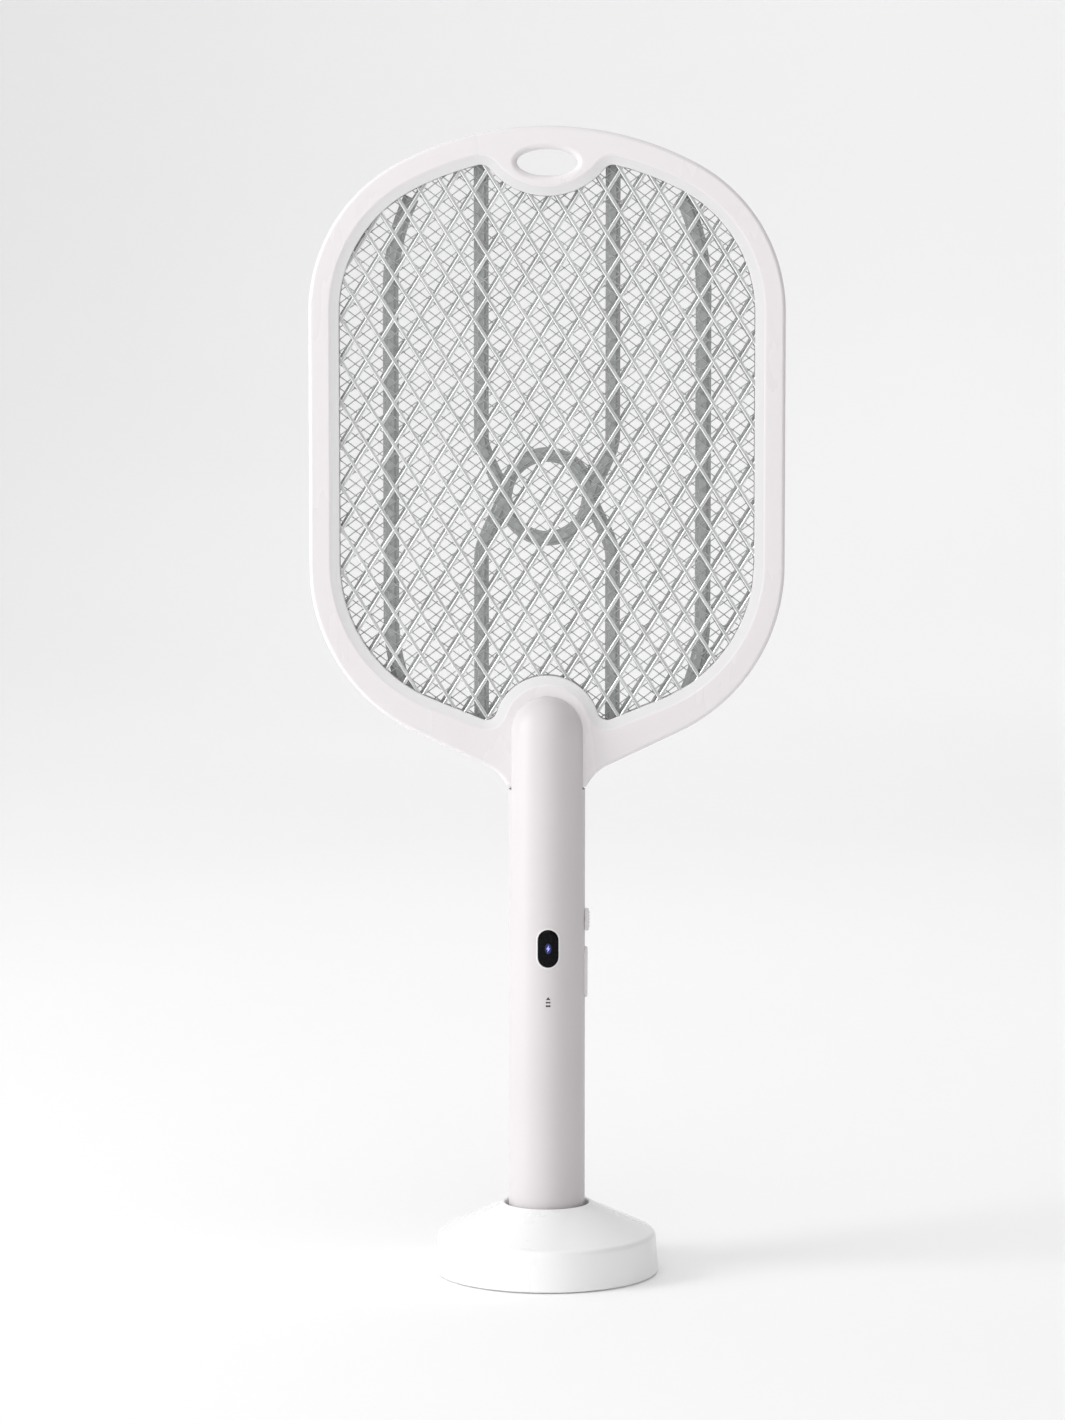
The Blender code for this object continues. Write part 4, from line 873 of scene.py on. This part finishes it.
def handle_shell(name, side, node, looks):
    """One half of the handle's shell, round over the top and open where its controls are."""
    bm = bmesh.new()
    columns = 72
    outer = shell_grid(bm, HANDLE_R, SHELL_BOTTOM_Z - GAP, side, columns, 0.35 * MM)
    inner = shell_grid(bm, HANDLE_R - 2 * MM, SHELL_BOTTOM_Z - GAP, side, columns)
    for rows in (outer, inner):
        for lower, upper in zip(rows, rows[1:]):
            for i in range(columns):
                bm.faces.new((lower[i], lower[i + 1], upper[i + 1], upper[i]))
    for i in range(columns):
        bm.faces.new((outer[0][i], outer[0][i + 1], inner[0][i + 1], inner[0][i]))
    bm.faces.new(outer[-1] + inner[-1][::-1])
    for column in (0, -1):
        bm.faces.new([row[column] for row in outer + inner[::-1]])
    shell = to_object(name, bm)
    cut(shell, *control_cutters())
    if side < 0:
        lens = stadium(LENS_WIDTH + 2 * GAP, LENS_HEIGHT + 2 * GAP, 14, LENS_CENTRE)
        cut(shell, bar(lens, -20 * MM, -12 * MM))
    else:
        for index in (1, 2, 3):
            z = middle(f"handle_screw_{index}", 2)
            cut(shell, drill((0, 9 * MM, z), (0, 20 * MM, z), 3.0 * MM))
    place(shell, "swatter", looks, [node], weighted=False)
    exact_shading(shell)


def control_cutters():
    """Cutters for the slider's slot and the trigger's opening on the right."""
    low = (12 * MM, -1.5 * MM, SLIDER_Z - 3 * MM)
    high = (20 * MM, 1.5 * MM, SLIDER_Z + 3 * MM)
    slot = block(low, high)
    opening = bar(stadium(7.6 * MM, 23.1 * MM, 14, (0, TRIGGER_Z)), -20 * MM, -12 * MM)
    opening.data.transform(TO_RIGHT)
    return slot, opening


def exact_shading(obj):
    """Sets the normals of a handle shell's outer skin to those of a true tube and dome."""
    mesh = obj.data
    normals = []
    for face in mesh.polygons:
        for index in face.vertices:
            point = mesh.vertices[index].co
            centre = Vector((0, 0, max(0.0, point.z - DOME_Z)))
            true = Vector((point.x, point.y, centre.z))
            on_skin = abs(true.length - HANDLE_R) < 0.05 * MM
            true.normalize()
            normals.append(true if on_skin and true.dot(face.normal) > 0.9 else face.normal.copy())
    mesh.normals_split_custom_set(normals)


def add_patch(bm, outline, lift, thick, rings, edge_drop):
    """A thin plate that follows the handle's front; the outline is in the head's plane."""
    centre = Vector((sum(p[0] for p in outline), sum(p[1] for p in outline))) / len(outline)
    rows = []
    for ring in range(1, rings + 1):
        share = ring / rings
        drop = edge_drop if ring == rings else 0.0
        row = []
        for point in outline:
            spot = centre + (Vector(point) - centre) * share
            y = -sqrt(HANDLE_R**2 - spot.x**2) - lift + drop
            row.append(bm.verts.new((spot.x, y, spot.y)))
        rows.append(row)
    rows.append([bm.verts.new((v.co.x, v.co.y + thick, v.co.z)) for v in rows[-1]])
    bm.faces.new(rows[0])
    add_bands(bm, rows)
    bm.faces.new(rows[-1])


def front_patch(name, looks, outlines, lift, thick, rings, nodes=(), slot=None, edge_drop=0.0):
    """A piece made of thin plates on the handle's front."""
    bm = bmesh.new()
    for outline in outlines:
        add_patch(bm, outline, lift, thick, rings, edge_drop)
    place(to_object(name, bm), "swatter", looks, nodes, slot, edge=50)


def lens_piece(looks):
    """The smoked lens, its edge softened."""
    outlines = [stadium(LENS_WIDTH, LENS_HEIGHT, 20, LENS_CENTRE)]
    nodes = ["display_window"]
    front_patch("smoked_window", looks, outlines, -0.12 * MM, 1.4 * MM, 10, nodes, edge_drop=0.12 * MM)


def lens_rim(looks):
    """A fine raised rim round the lens."""
    bm = bmesh.new()
    rows = []
    for grow, lift in ((0.35, -0.3), (0.35, 0.03), (0.5, 0.1), (0.75, 0.1), (0.95, 0.0), (0.95, -0.3)):
        outline = stadium(LENS_WIDTH + 2 * grow * MM, LENS_HEIGHT + 2 * grow * MM, 20, LENS_CENTRE)
        row = [bm.verts.new((x, -sqrt(HANDLE_R**2 - x * x) - lift * MM, z)) for x, z in outline]
        rows.append(row)
    add_bands(bm, rows + rows[:1])
    place(to_object("window_rim", bm), "swatter", looks, slot="white_abs", edge=60)


def spark_symbol(looks):
    """A small plain zigzag that glows through the lens."""
    shape = ((0.45, 1.9), (-1.0, -0.3), (-0.1, -0.25), (-0.45, -1.9), (1.0, 0.35), (0.1, 0.3))
    outline = near(LENS_CENTRE, *[(0.85 * across, 0.85 * up) for across, up in shape])
    front_patch("spark_symbol", looks, [outline], -0.1 * MM, 0.1 * MM, 3, slot="lamp_blue")


def spark_halo(looks):
    """The dim pool of light round the symbol, on the lens."""
    round_pool = arc((0, 0), 2.3 * MM, 0, 345, 23)
    outline = [(LENS_CENTRE[0] + 0.6 * x, LENS_CENTRE[1] + z) for x, z in round_pool]
    front_patch("spark_halo", looks, [outline], -0.115 * MM, 0.1 * MM, 3, slot="lamp_blue")


def printed_marks(looks):
    """Three tiny printed marks under the lens: a triangle over two bars."""
    centre = (LENS_CENTRE[0], LENS_CENTRE[1] - 23.4 * MM)
    triangle = ((0, 2.3), (-1.0, 0.95), (1.0, 0.95))
    upper_bar = ((-1.0, -0.5), (1.0, -0.5), (1.0, 0.2), (-1.0, 0.2))
    lower_bar = ((-1.0, -2.1), (1.0, -2.1), (1.0, -1.25), (-1.0, -1.25))
    outlines = [near(centre, *shape) for shape in (triangle, upper_bar, lower_bar)]
    front_patch("printed_marks", looks, outlines, 0.02 * MM, 0.05 * MM, 2, slot="smoked_lens")


def slider_piece(looks):
    """The thumb slider: a rounded plate with a row of grip ridges and its stem."""
    half_h = (SLIDER_HIGH[2] - SLIDER_LOW[2]) / 2
    half_w = (SLIDER_HIGH[1] - SLIDER_LOW[1]) / 2
    corner = 1.3 * MM
    outline = []
    for across, up, start in ((1, 1, 0), (-1, 1, 90), (-1, -1, 180), (1, -1, 270)):
        centre = (across * (half_w - corner), SLIDER_Z + up * (half_h - corner))
        outline += arc(centre, corner, start, start + 90, 6)
    top = SLIDER_HIGH[0] - 0.35 * MM
    steps = rounding(0.7 * MM, top, 0.7 * MM, 0.6 * MM, 6) + [(0.0, HANDLE_R + 0.1 * MM)]
    bm = bmesh.new()
    loft_plate(bm, [(outline, facing(-1, steps))])
    turns = [radians(30 * step) for step in range(7)]
    ridge = [(0.42 * MM * cos(a), -top - 0.35 * MM * sin(a)) for a in turns]
    ridge += [(-0.42 * MM, -top + 0.3 * MM), (0.42 * MM, -top + 0.3 * MM)]
    for step in range(-2, 3):
        ridge_z = SLIDER_Z + step * 1.45 * MM
        sweep(bm, [(-half_w + 0.9 * MM, ridge_z), (half_w - 0.9 * MM, ridge_z)], ridge)
    bm.transform(TO_RIGHT)
    obj = to_object("thumb_slider", bm)
    stem_low = (SLIDER_LOW[0], -1.2 * MM, SLIDER_Z - 1 * MM)
    stem_high = (HANDLE_R + 0.6 * MM, 1.2 * MM, SLIDER_Z + 1 * MM)
    merge_in(obj, block(stem_low, stem_high))
    place(obj, "mode_slider", looks, ["mode_slider"])


def merge_in(obj, other):
    """Adds another object's mesh to this one as a separate shell."""
    bm = bmesh.new()
    bm.from_mesh(obj.data)
    bm.from_mesh(other.data)
    bm.to_mesh(obj.data)
    bm.free()
    bpy.data.objects.remove(other, do_unlink=True)


def trigger_piece(looks):
    """The long button, with a shallow finger dish and its flange inside the shell."""
    top = TRIGGER_HIGH[0]
    steps = near((0, top), (2.9, -0.32), (2.2, -0.26), (1.6, -0.1), (1.15, 0))
    steps += rounding(0.75 * MM, top, 0.75 * MM, 0.7 * MM, 6)
    steps += [(0.0, TRIGGER_LOW[0] + 0.5 * MM)]
    bm = bmesh.new()
    loft_plate(bm, [(stadium(7.0 * MM, 22.5 * MM, 16, (0, TRIGGER_Z)), facing(-1, steps))])
    bm.transform(TO_RIGHT)
    obj = to_object("long_button", bm)
    merge_in(obj, block(TRIGGER_LOW, (TRIGGER_LOW[0] + 0.9 * MM, TRIGGER_HIGH[1], TRIGGER_HIGH[2])))
    place(obj, "trigger", looks, ["trigger_button"])


def foot_cap(looks):
    """The handle's foot, with the two round windows of its charging contacts."""
    low = CAP_LOW[2]
    spigot = HANDLE_R - 2.3 * MM
    profile = [(0.0, low)]
    profile += near((HANDLE_R, low), (-3.4, 0), (-3, 0.25), (-2.6, 0), (-1, 0), (0, 1.1), (0, 2.4))
    profile += [
        (spigot, low + 2.4 * MM),
        (spigot, CAP_HIGH[2]),
        (spigot - 1.6 * MM, CAP_HIGH[2]),
        (spigot - 1.6 * MM, low + 2.8 * MM),
        (0.0, low + 2.8 * MM),
    ]
    obj = lathe("foot_cap", round_profile(profile, 0.35 * MM), 128)
    for x in contact_spots():
        cut(obj, drill((x, 0, low - 1 * MM), (x, 0, low + 5 * MM), 1.6 * MM))
        cut(obj, drill((x, 0, low + 1.0 * MM), (x, 0, low + 5 * MM), 2.8 * MM))
    place(obj, "swatter", looks, ["handle_end_cap"])


def contact_spots():
    """How far right of the middle each charging contact is."""
    return [middle(f"pogo_pin_{side}", 0) for side in ("right", "left")]


def cross_screw(name, node, body, looks, head_r, head_h):
    """A pan-head screw with a cross recess and a cut thread, in the place of its CAD node."""
    low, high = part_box(node)
    upright = body == "dock"
    length = (high[2] - low[2]) if upright else (high[1] - low[1])
    shank = head_r * 0.4
    profile = [(0.0, 0.0), (head_r * 0.55, 0.0), (head_r * 0.86, 0.15 * head_h)]
    profile += [(head_r, 0.55 * head_h), (head_r, head_h), (shank, head_h)]
    for turn in range(int((length - head_h - 1 * MM) / (0.8 * MM))):
        z = head_h + 0.3 * MM + turn * 0.8 * MM
        profile += [(shank, z), (shank + 0.12 * MM, z + 0.3 * MM), (shank, z + 0.6 * MM)]
    profile += [(shank * 0.9, length - 0.6 * MM), (0.0, length)]
    obj = lathe(name, profile, 28)
    arm = head_r * 0.62
    half = head_r * 0.11
    deep = head_h * 0.62
    cut(obj, block((-arm, -half, -1 * MM), (arm, half, deep)))
    cut(obj, block((-half, -arm, -1 * MM), (half, arm, deep)))
    spin = Matrix.Rotation(0.7 * len(bpy.data.objects), 4, "Z")
    if upright:
        head_at = (middle(node, 0), middle(node, 1), low[2])
        turn = Matrix.Identity(4)
    else:
        head_at = (middle(node, 0), high[1], middle(node, 2))
        turn = Matrix.Rotation(radians(90), 4, "X")
    obj.data.transform(Matrix.Translation(head_at) @ turn @ spin)
    place(obj, body, looks, [node], weighted=False)


def cross_screws(count, name, node, *rest):
    """A numbered set of screws of one kind."""
    for index in range(1, count + 1):
        cross_screw(f"{name}_{index}", f"{node}_{index}", *rest)


# ---- the dock ----


def dock_shell(looks):
    """The dock's cover: a short wall, a cone and a soft rim at the hole."""
    wall_top_z = 18.4 * MM
    wall_top_r = DOCK_R - 1.2 * MM
    hole_r = 18.3 * MM
    rim_r = hole_r + 1 * MM
    slope = (HOLE_TOP_Z - wall_top_z) / (wall_top_r - hole_r)
    low = DOCK_LOW[2]
    profile = near((DOCK_R, low), (-2.2, 0), (-0.6, 0), (0, 0.6))
    profile += near((wall_top_r, wall_top_z), (0.15, -3))
    profile += arc((wall_top_r - 2.9 * MM, wall_top_z - 2.8 * MM), 3.05 * MM, 4, 64, 8)
    profile += [(rim_r + 1.6 * MM, HOLE_TOP_Z - 1.6 * MM * slope - 0.15 * MM)]
    profile += near((rim_r, HOLE_TOP_Z), (0.5, -0.08), (0, 0), (-0.6, -0.2))
    profile += near((hole_r, HOLE_TOP_Z), (0, -1), (0, -5.2), (4, -5.2))
    profile += near((wall_top_r, wall_top_z), (-3.4, -2.2), (-2.2, -4.2))
    obj = lathe("dock_shell", profile, 192)
    inlet_z = middle("usb_c_socket", 2)
    opening = [(up, inlet_z + across) for across, up in stadium(3.9 * MM, 9.8 * MM, 8)]
    cut(obj, bar(opening, 44 * MM, 52 * MM))
    place(obj, "dock", looks, ["base_cover"])


def dock_cup(looks):
    """The cup in the dock, its floor pierced for the contact pins."""
    outer = CUP_HIGH[0] - 2.7 * MM
    inner = 17.5 * MM
    top = CUP_HIGH[2]
    floor = CAP_LOW[2] - GAP
    profile = [
        (0.0, CUP_LOW[2]),
        (outer, CUP_LOW[2]),
        (outer, top - 1.6 * MM),
        (CUP_HIGH[0], top - 1.6 * MM),
        (CUP_HIGH[0], top),
        (18.3 * MM, top),
        (inner, top - 0.8 * MM),
        (inner, floor + 0.6 * MM),
        (inner - 0.6 * MM, floor),
    ]
    profile += near((0, floor), (3.2, 0), (2.8, -0.25), (0, -0.25))
    obj = lathe("dock_cup", profile, 96)
    for x in contact_spots():
        cut(obj, drill((x, 0, 6 * MM), (x, 0, 14 * MM), 1.7 * MM))
    place(obj, "dock", looks, ["base_socket"])


def foot_pad(looks):
    """The foam pad under the dock, with rings pressed into it."""
    radius = PAD_HIGH[0]
    top = PAD_HIGH[2]
    groove = ((-0.7, 0.0), (-0.35, 0.3), (0.35, 0.3), (0.7, 0.0))
    profile = [(0.0, 0.0)]
    for ring in range(1, 5):
        profile += near((ring * 9.5 * MM, 0), *groove)
    profile += [(radius - 0.5 * MM, 0.0), (radius, 0.4 * MM), (radius, top), (0.0, top)]
    place(lathe("foam_foot", profile, 128), "dock", looks, ["anti_slip_pad"])


# ---- studio ----


def studio():
    """A pale sweep, a soft key from the left and other soft lights, and the white room round them."""
    bm = bmesh.new()
    floor_z = -0.1 * MM
    reach = 15.0
    wall_y = 4.4
    bend = 1.8
    path = [(-reach, floor_z), (wall_y - bend, floor_z)]
    for angle in range(6, 91, 6):
        turn = radians(angle)
        path.append((wall_y - bend + bend * sin(turn), floor_z + bend * (1 - cos(turn))))
    path += [(wall_y, 5.0)]
    rows = [[bm.verts.new((x, y, z)) for x in (-reach, reach)] for y, z in path]
    for first, second in zip(rows, rows[1:]):
        bm.faces.new((first[0], first[1], second[1], second[0]))
    sweep_object = to_object("studio_sweep", bm)
    paper = Nodes("studio_paper")
    tooth = paper.noise(300, 3.0)
    drift = paper.noise(1.5, 1.0)
    paper.colour(drift, 0.3, 0.7, (0.935, 0.935, 0.94), (0.955, 0.955, 0.955))
    paper.rough(tooth, 0.85, 0.95)
    paper.fixed(Emission_Color=(1.0, 1.0, 1.0, 1.0), Emission_Strength=0.08)
    dress(sweep_object, paper.owner)
    soft_light("key_left", (-1.6, -0.55, 0.6), (0, 0, 0.25), (0.8, 1.6), 22.5)
    soft_light("top_fill", (0.2, -0.6, 1.9), (0, 0, 0.3), (1.6, 1.2), 5.4)
    soft_light("front_fill", (-0.2, -2.6, 0.9), (0, 0, 0.3), (1.6, 1.6), 7.5)
    soft_light("back_glow", (0.6, 2.7, 1.6), (0.4, 4.4, 0.6), (2.4, 1.2), 8)
    soft_light("floor_glow", (-0.1, 1.4, 1.6), (-0.1, 1.5, 0), (3.2, 2.0), 7, 130)
    sky()


def soft_light(name, at, target, size, power, spread=180):
    data = bpy.data.lights.new(name, "AREA")
    data.shape = "RECTANGLE"
    data.size = size[0]
    data.size_y = size[1]
    data.energy = power
    data.spread = radians(spread)
    lamp = bpy.data.objects.new(name, data)
    lamp.location = at
    lamp.rotation_euler = (Vector(target) - Vector(at)).to_track_quat("-Z", "Y").to_euler()
    bpy.context.scene.collection.objects.link(lamp)


def sky():
    """An even white room, dimmer on the right."""
    room = Nodes("white_room", bpy.data.worlds, "Background", "Generated")
    split = room.add("ShaderNodeSeparateXYZ")
    room.link(room.coordinates, split.inputs["Vector"])
    across = room.spread(split.outputs["X"], 0.0, 1.0, -1.0, 1.0)
    tone = room.ramp(across, 0.45, 0.9, (1, 1, 1), (0.22, 0.2, 0.205))
    room.link(tone, room.shader.inputs["Color"])
    room.fixed(Strength=0.64)
    bpy.context.scene.world = room.owner


def camera():
    data = bpy.data.cameras.new("camera")
    data.sensor_width = 36
    data.lens = 111
    data.clip_end = 50
    lens = bpy.data.objects.new("camera", data)
    centre_x = -6.3 * MM
    target = Vector((centre_x, 0, 247.6 * MM))
    lens.location = (centre_x, -1.9, 0.413)
    lens.rotation_euler = (target - lens.location).to_track_quat("-Z", "Y").to_euler()
    bpy.context.scene.collection.objects.link(lens)
    bpy.context.scene.camera = lens
    bpy.context.scene.view_settings.view_transform = "Standard"


# ---- the whole ----


def dress_nodes(looks, *names):
    """Gives CAD nodes that keep their own shape a finished material."""
    for name in names:
        for slot in frame["nodes"][name].material_slots:
            slot.material = looks


def build_head(white, steel):
    # Painted highlight: near-white edge bevels on the front grid's strands.
    painted_highlight = bright_wire("guard_edge_painted_highlight", (0.97, 0.98, 0.98), (0.9, 0.91, 0.91), 0.25, 0.4, 0.35)
    satin = bright_wire("guard_face", (0.56, 0.575, 0.57), (0.43, 0.445, 0.44), 0.35, 0.55, 0.4)
    dull = bright_wire("guard_back", (0.54, 0.555, 0.55), (0.42, 0.435, 0.43), 0.35, 0.55, 0.4)
    fine = bright_wire("live_wire", (0.52, 0.535, 0.53), (0.4, 0.415, 0.41), 0.3, 0.5, 0.5)
    # Painted shade: the rib carrier is coloured grey for the shade it sits in.
    rib_painted_shade_tones = ((0.5, 0.515, 0.51), (0.38, 0.395, 0.39))
    painted_shade_grey = moulded("rib_grey", *rib_painted_shade_tones, 0.4, 0.55, grain=1400, drift=230)
    # A darker white on the window bevel: painted shade.
    cove = moulded("cove_painted_shade_white", COVE_PAINTED_SHADE_WHITE, COVE_PAINTED_SHADE_WHITE, 0.15, 0.22, coat=0.4)
    head_ring("head_ring_front", -1, "head_front_frame", (white, cove))
    head_ring("head_ring_rear", 1, "head_rear_frame", (white, cove))
    guard_grid("guard_grid_front", "front_guard_mesh", (0, 0), (satin, painted_highlight))
    guard_grid("guard_grid_rear", "rear_guard_mesh", REAR_SHIFT, (dull, satin))
    live_grid(fine)
    rib_carrier(painted_shade_grey)
    cross_screws(6, "ring_screw", "head_screw", "swatter", steel, 2.1 * MM, 1.6 * MM)
    dress_nodes(white, "mesh_spacer")


def build_handle(white, satin, steel, gold, green, wires):
    handle_shell("handle_shell_front", -1, "handle_front_shell", satin)
    handle_shell("handle_shell_rear", 1, "handle_rear_shell", satin)
    foot_cap(satin)
    lens_piece(smoked_lens())
    lens_rim(white)
    spark_halo(glowing("halo_blue", (0.006, 0.008, 0.06), 1.0))
    spark_symbol(glowing("spark_blue", (0.28, 0.32, 0.95), 1.1))
    printed_marks(ink("mark_ink", (0.025, 0.022, 0.025)))
    slider_piece(white)
    trigger_piece(white)
    cross_screws(3, "shell_screw", "handle_screw", "swatter", steel, 2.6 * MM, 1.9 * MM)
    black = moulded("black_nylon", (0.035, 0.035, 0.037), (0.02, 0.02, 0.021), 0.4, 0.55)
    dress_nodes(black, "push_switch_body", "slide_switch_lever")
    dress_nodes(steel, "slide_switch_body")
    dress_nodes(white, "push_switch_plunger")
    dress_nodes(gold, "contact_pad_right", "contact_pad_left")
    dress_nodes(green, "main_board")
    dress_nodes(wrapped_cell(), "battery_cell")
    winding = banded("winding", (0.55, 0.36, 0.04), (0.82, 0.62, 0.12), 1.1 * MM, 0.45)
    dress_nodes(winding, "hv_transformer")
    epoxy = moulded("epoxy_brown", (0.33, 0.07, 0.035), (0.22, 0.04, 0.02), 0.25, 0.4)
    dress_nodes(epoxy, "hv_capacitor")
    rings = banded("coded_rings", (0.18, 0.42, 0.58), (0.5, 0.28, 0.08), 1.6 * MM, 0.4)
    dress_nodes(rings, "bleed_resistor")
    dress_nodes(clear_acrylic(), "light_guide")
    dress_nodes(glowing("lamp_body", (0.3, 0.42, 0.85), 0.6), "indicator_led")
    dress_nodes(wires["red"], "battery_lead_red", "charge_lead_right")
    dress_nodes(wires["black"], "battery_lead_black", "charge_lead_left")
    dress_nodes(wires["white"], "hv_lead_right", "hv_lead_left")


def build_dock(white, shade, steel, gold, green, wires):
    dock_shell(white)
    dock_cup(shade)
    foot_pad(foam_rubber())
    cross_screws(4, "dock_screw", "base_screw", "dock", steel, 2.3 * MM, 1.0 * MM)
    dress_nodes(shade, "base_bottom_plate")
    iron = plated("weight_iron", (0.3, 0.3, 0.31), (0.16, 0.15, 0.15), 0.4, 0.6, 500)
    dress_nodes(iron, "base_ballast")
    dress_nodes(green, "dock_board", "inlet_board")
    dress_nodes(steel, "usb_c_socket")
    dress_nodes(gold, "pogo_barrel_right", "pogo_barrel_left", "pogo_pin_right", "pogo_pin_left")
    dress_nodes(wires["red"], "dock_wire_red")
    dress_nodes(wires["black"], "dock_wire_black")


def main():
    camera()
    studio()
    white = moulded("gloss_white", WHITE, WHITE_SHADE, 0.2, 0.32, coat=0.35)
    # The handle's white is darker than the ring's: painted shade on the same plastic.
    satin = moulded("satin_white_painted_shade", HANDLE_PAINTED_SHADE_WHITE, HANDLE_PAINTED_SHADE_DRIFT, 0.28, 0.38, shine=0.3)
    shade = moulded("inner_white", (0.78, 0.77, 0.78), (0.7, 0.69, 0.7), 0.35, 0.5)
    steel = plated("screw_steel", (0.72, 0.73, 0.74), (0.45, 0.45, 0.44), 0.2, 0.38)
    gold = plated("contact_gold", (0.9, 0.68, 0.3), (0.68, 0.46, 0.17), 0.15, 0.35)
    green = circuit_green()
    tones = {"red": (0.55, 0.02, 0.015), "black": (0.03, 0.03, 0.03), "white": (0.8, 0.8, 0.77)}
    wires = {name: insulated(f"wire_{name}", tone) for name, tone in tones.items()}
    build_head(white, steel)
    build_handle(white, satin, steel, gold, green, wires)
    pure = moulded("dock_white", DOCK_WHITE, (0.9, 0.9, 0.905), 0.22, 0.32, coat=0.3)
    build_dock(pure, shade, steel, gold, green, wires)


main()
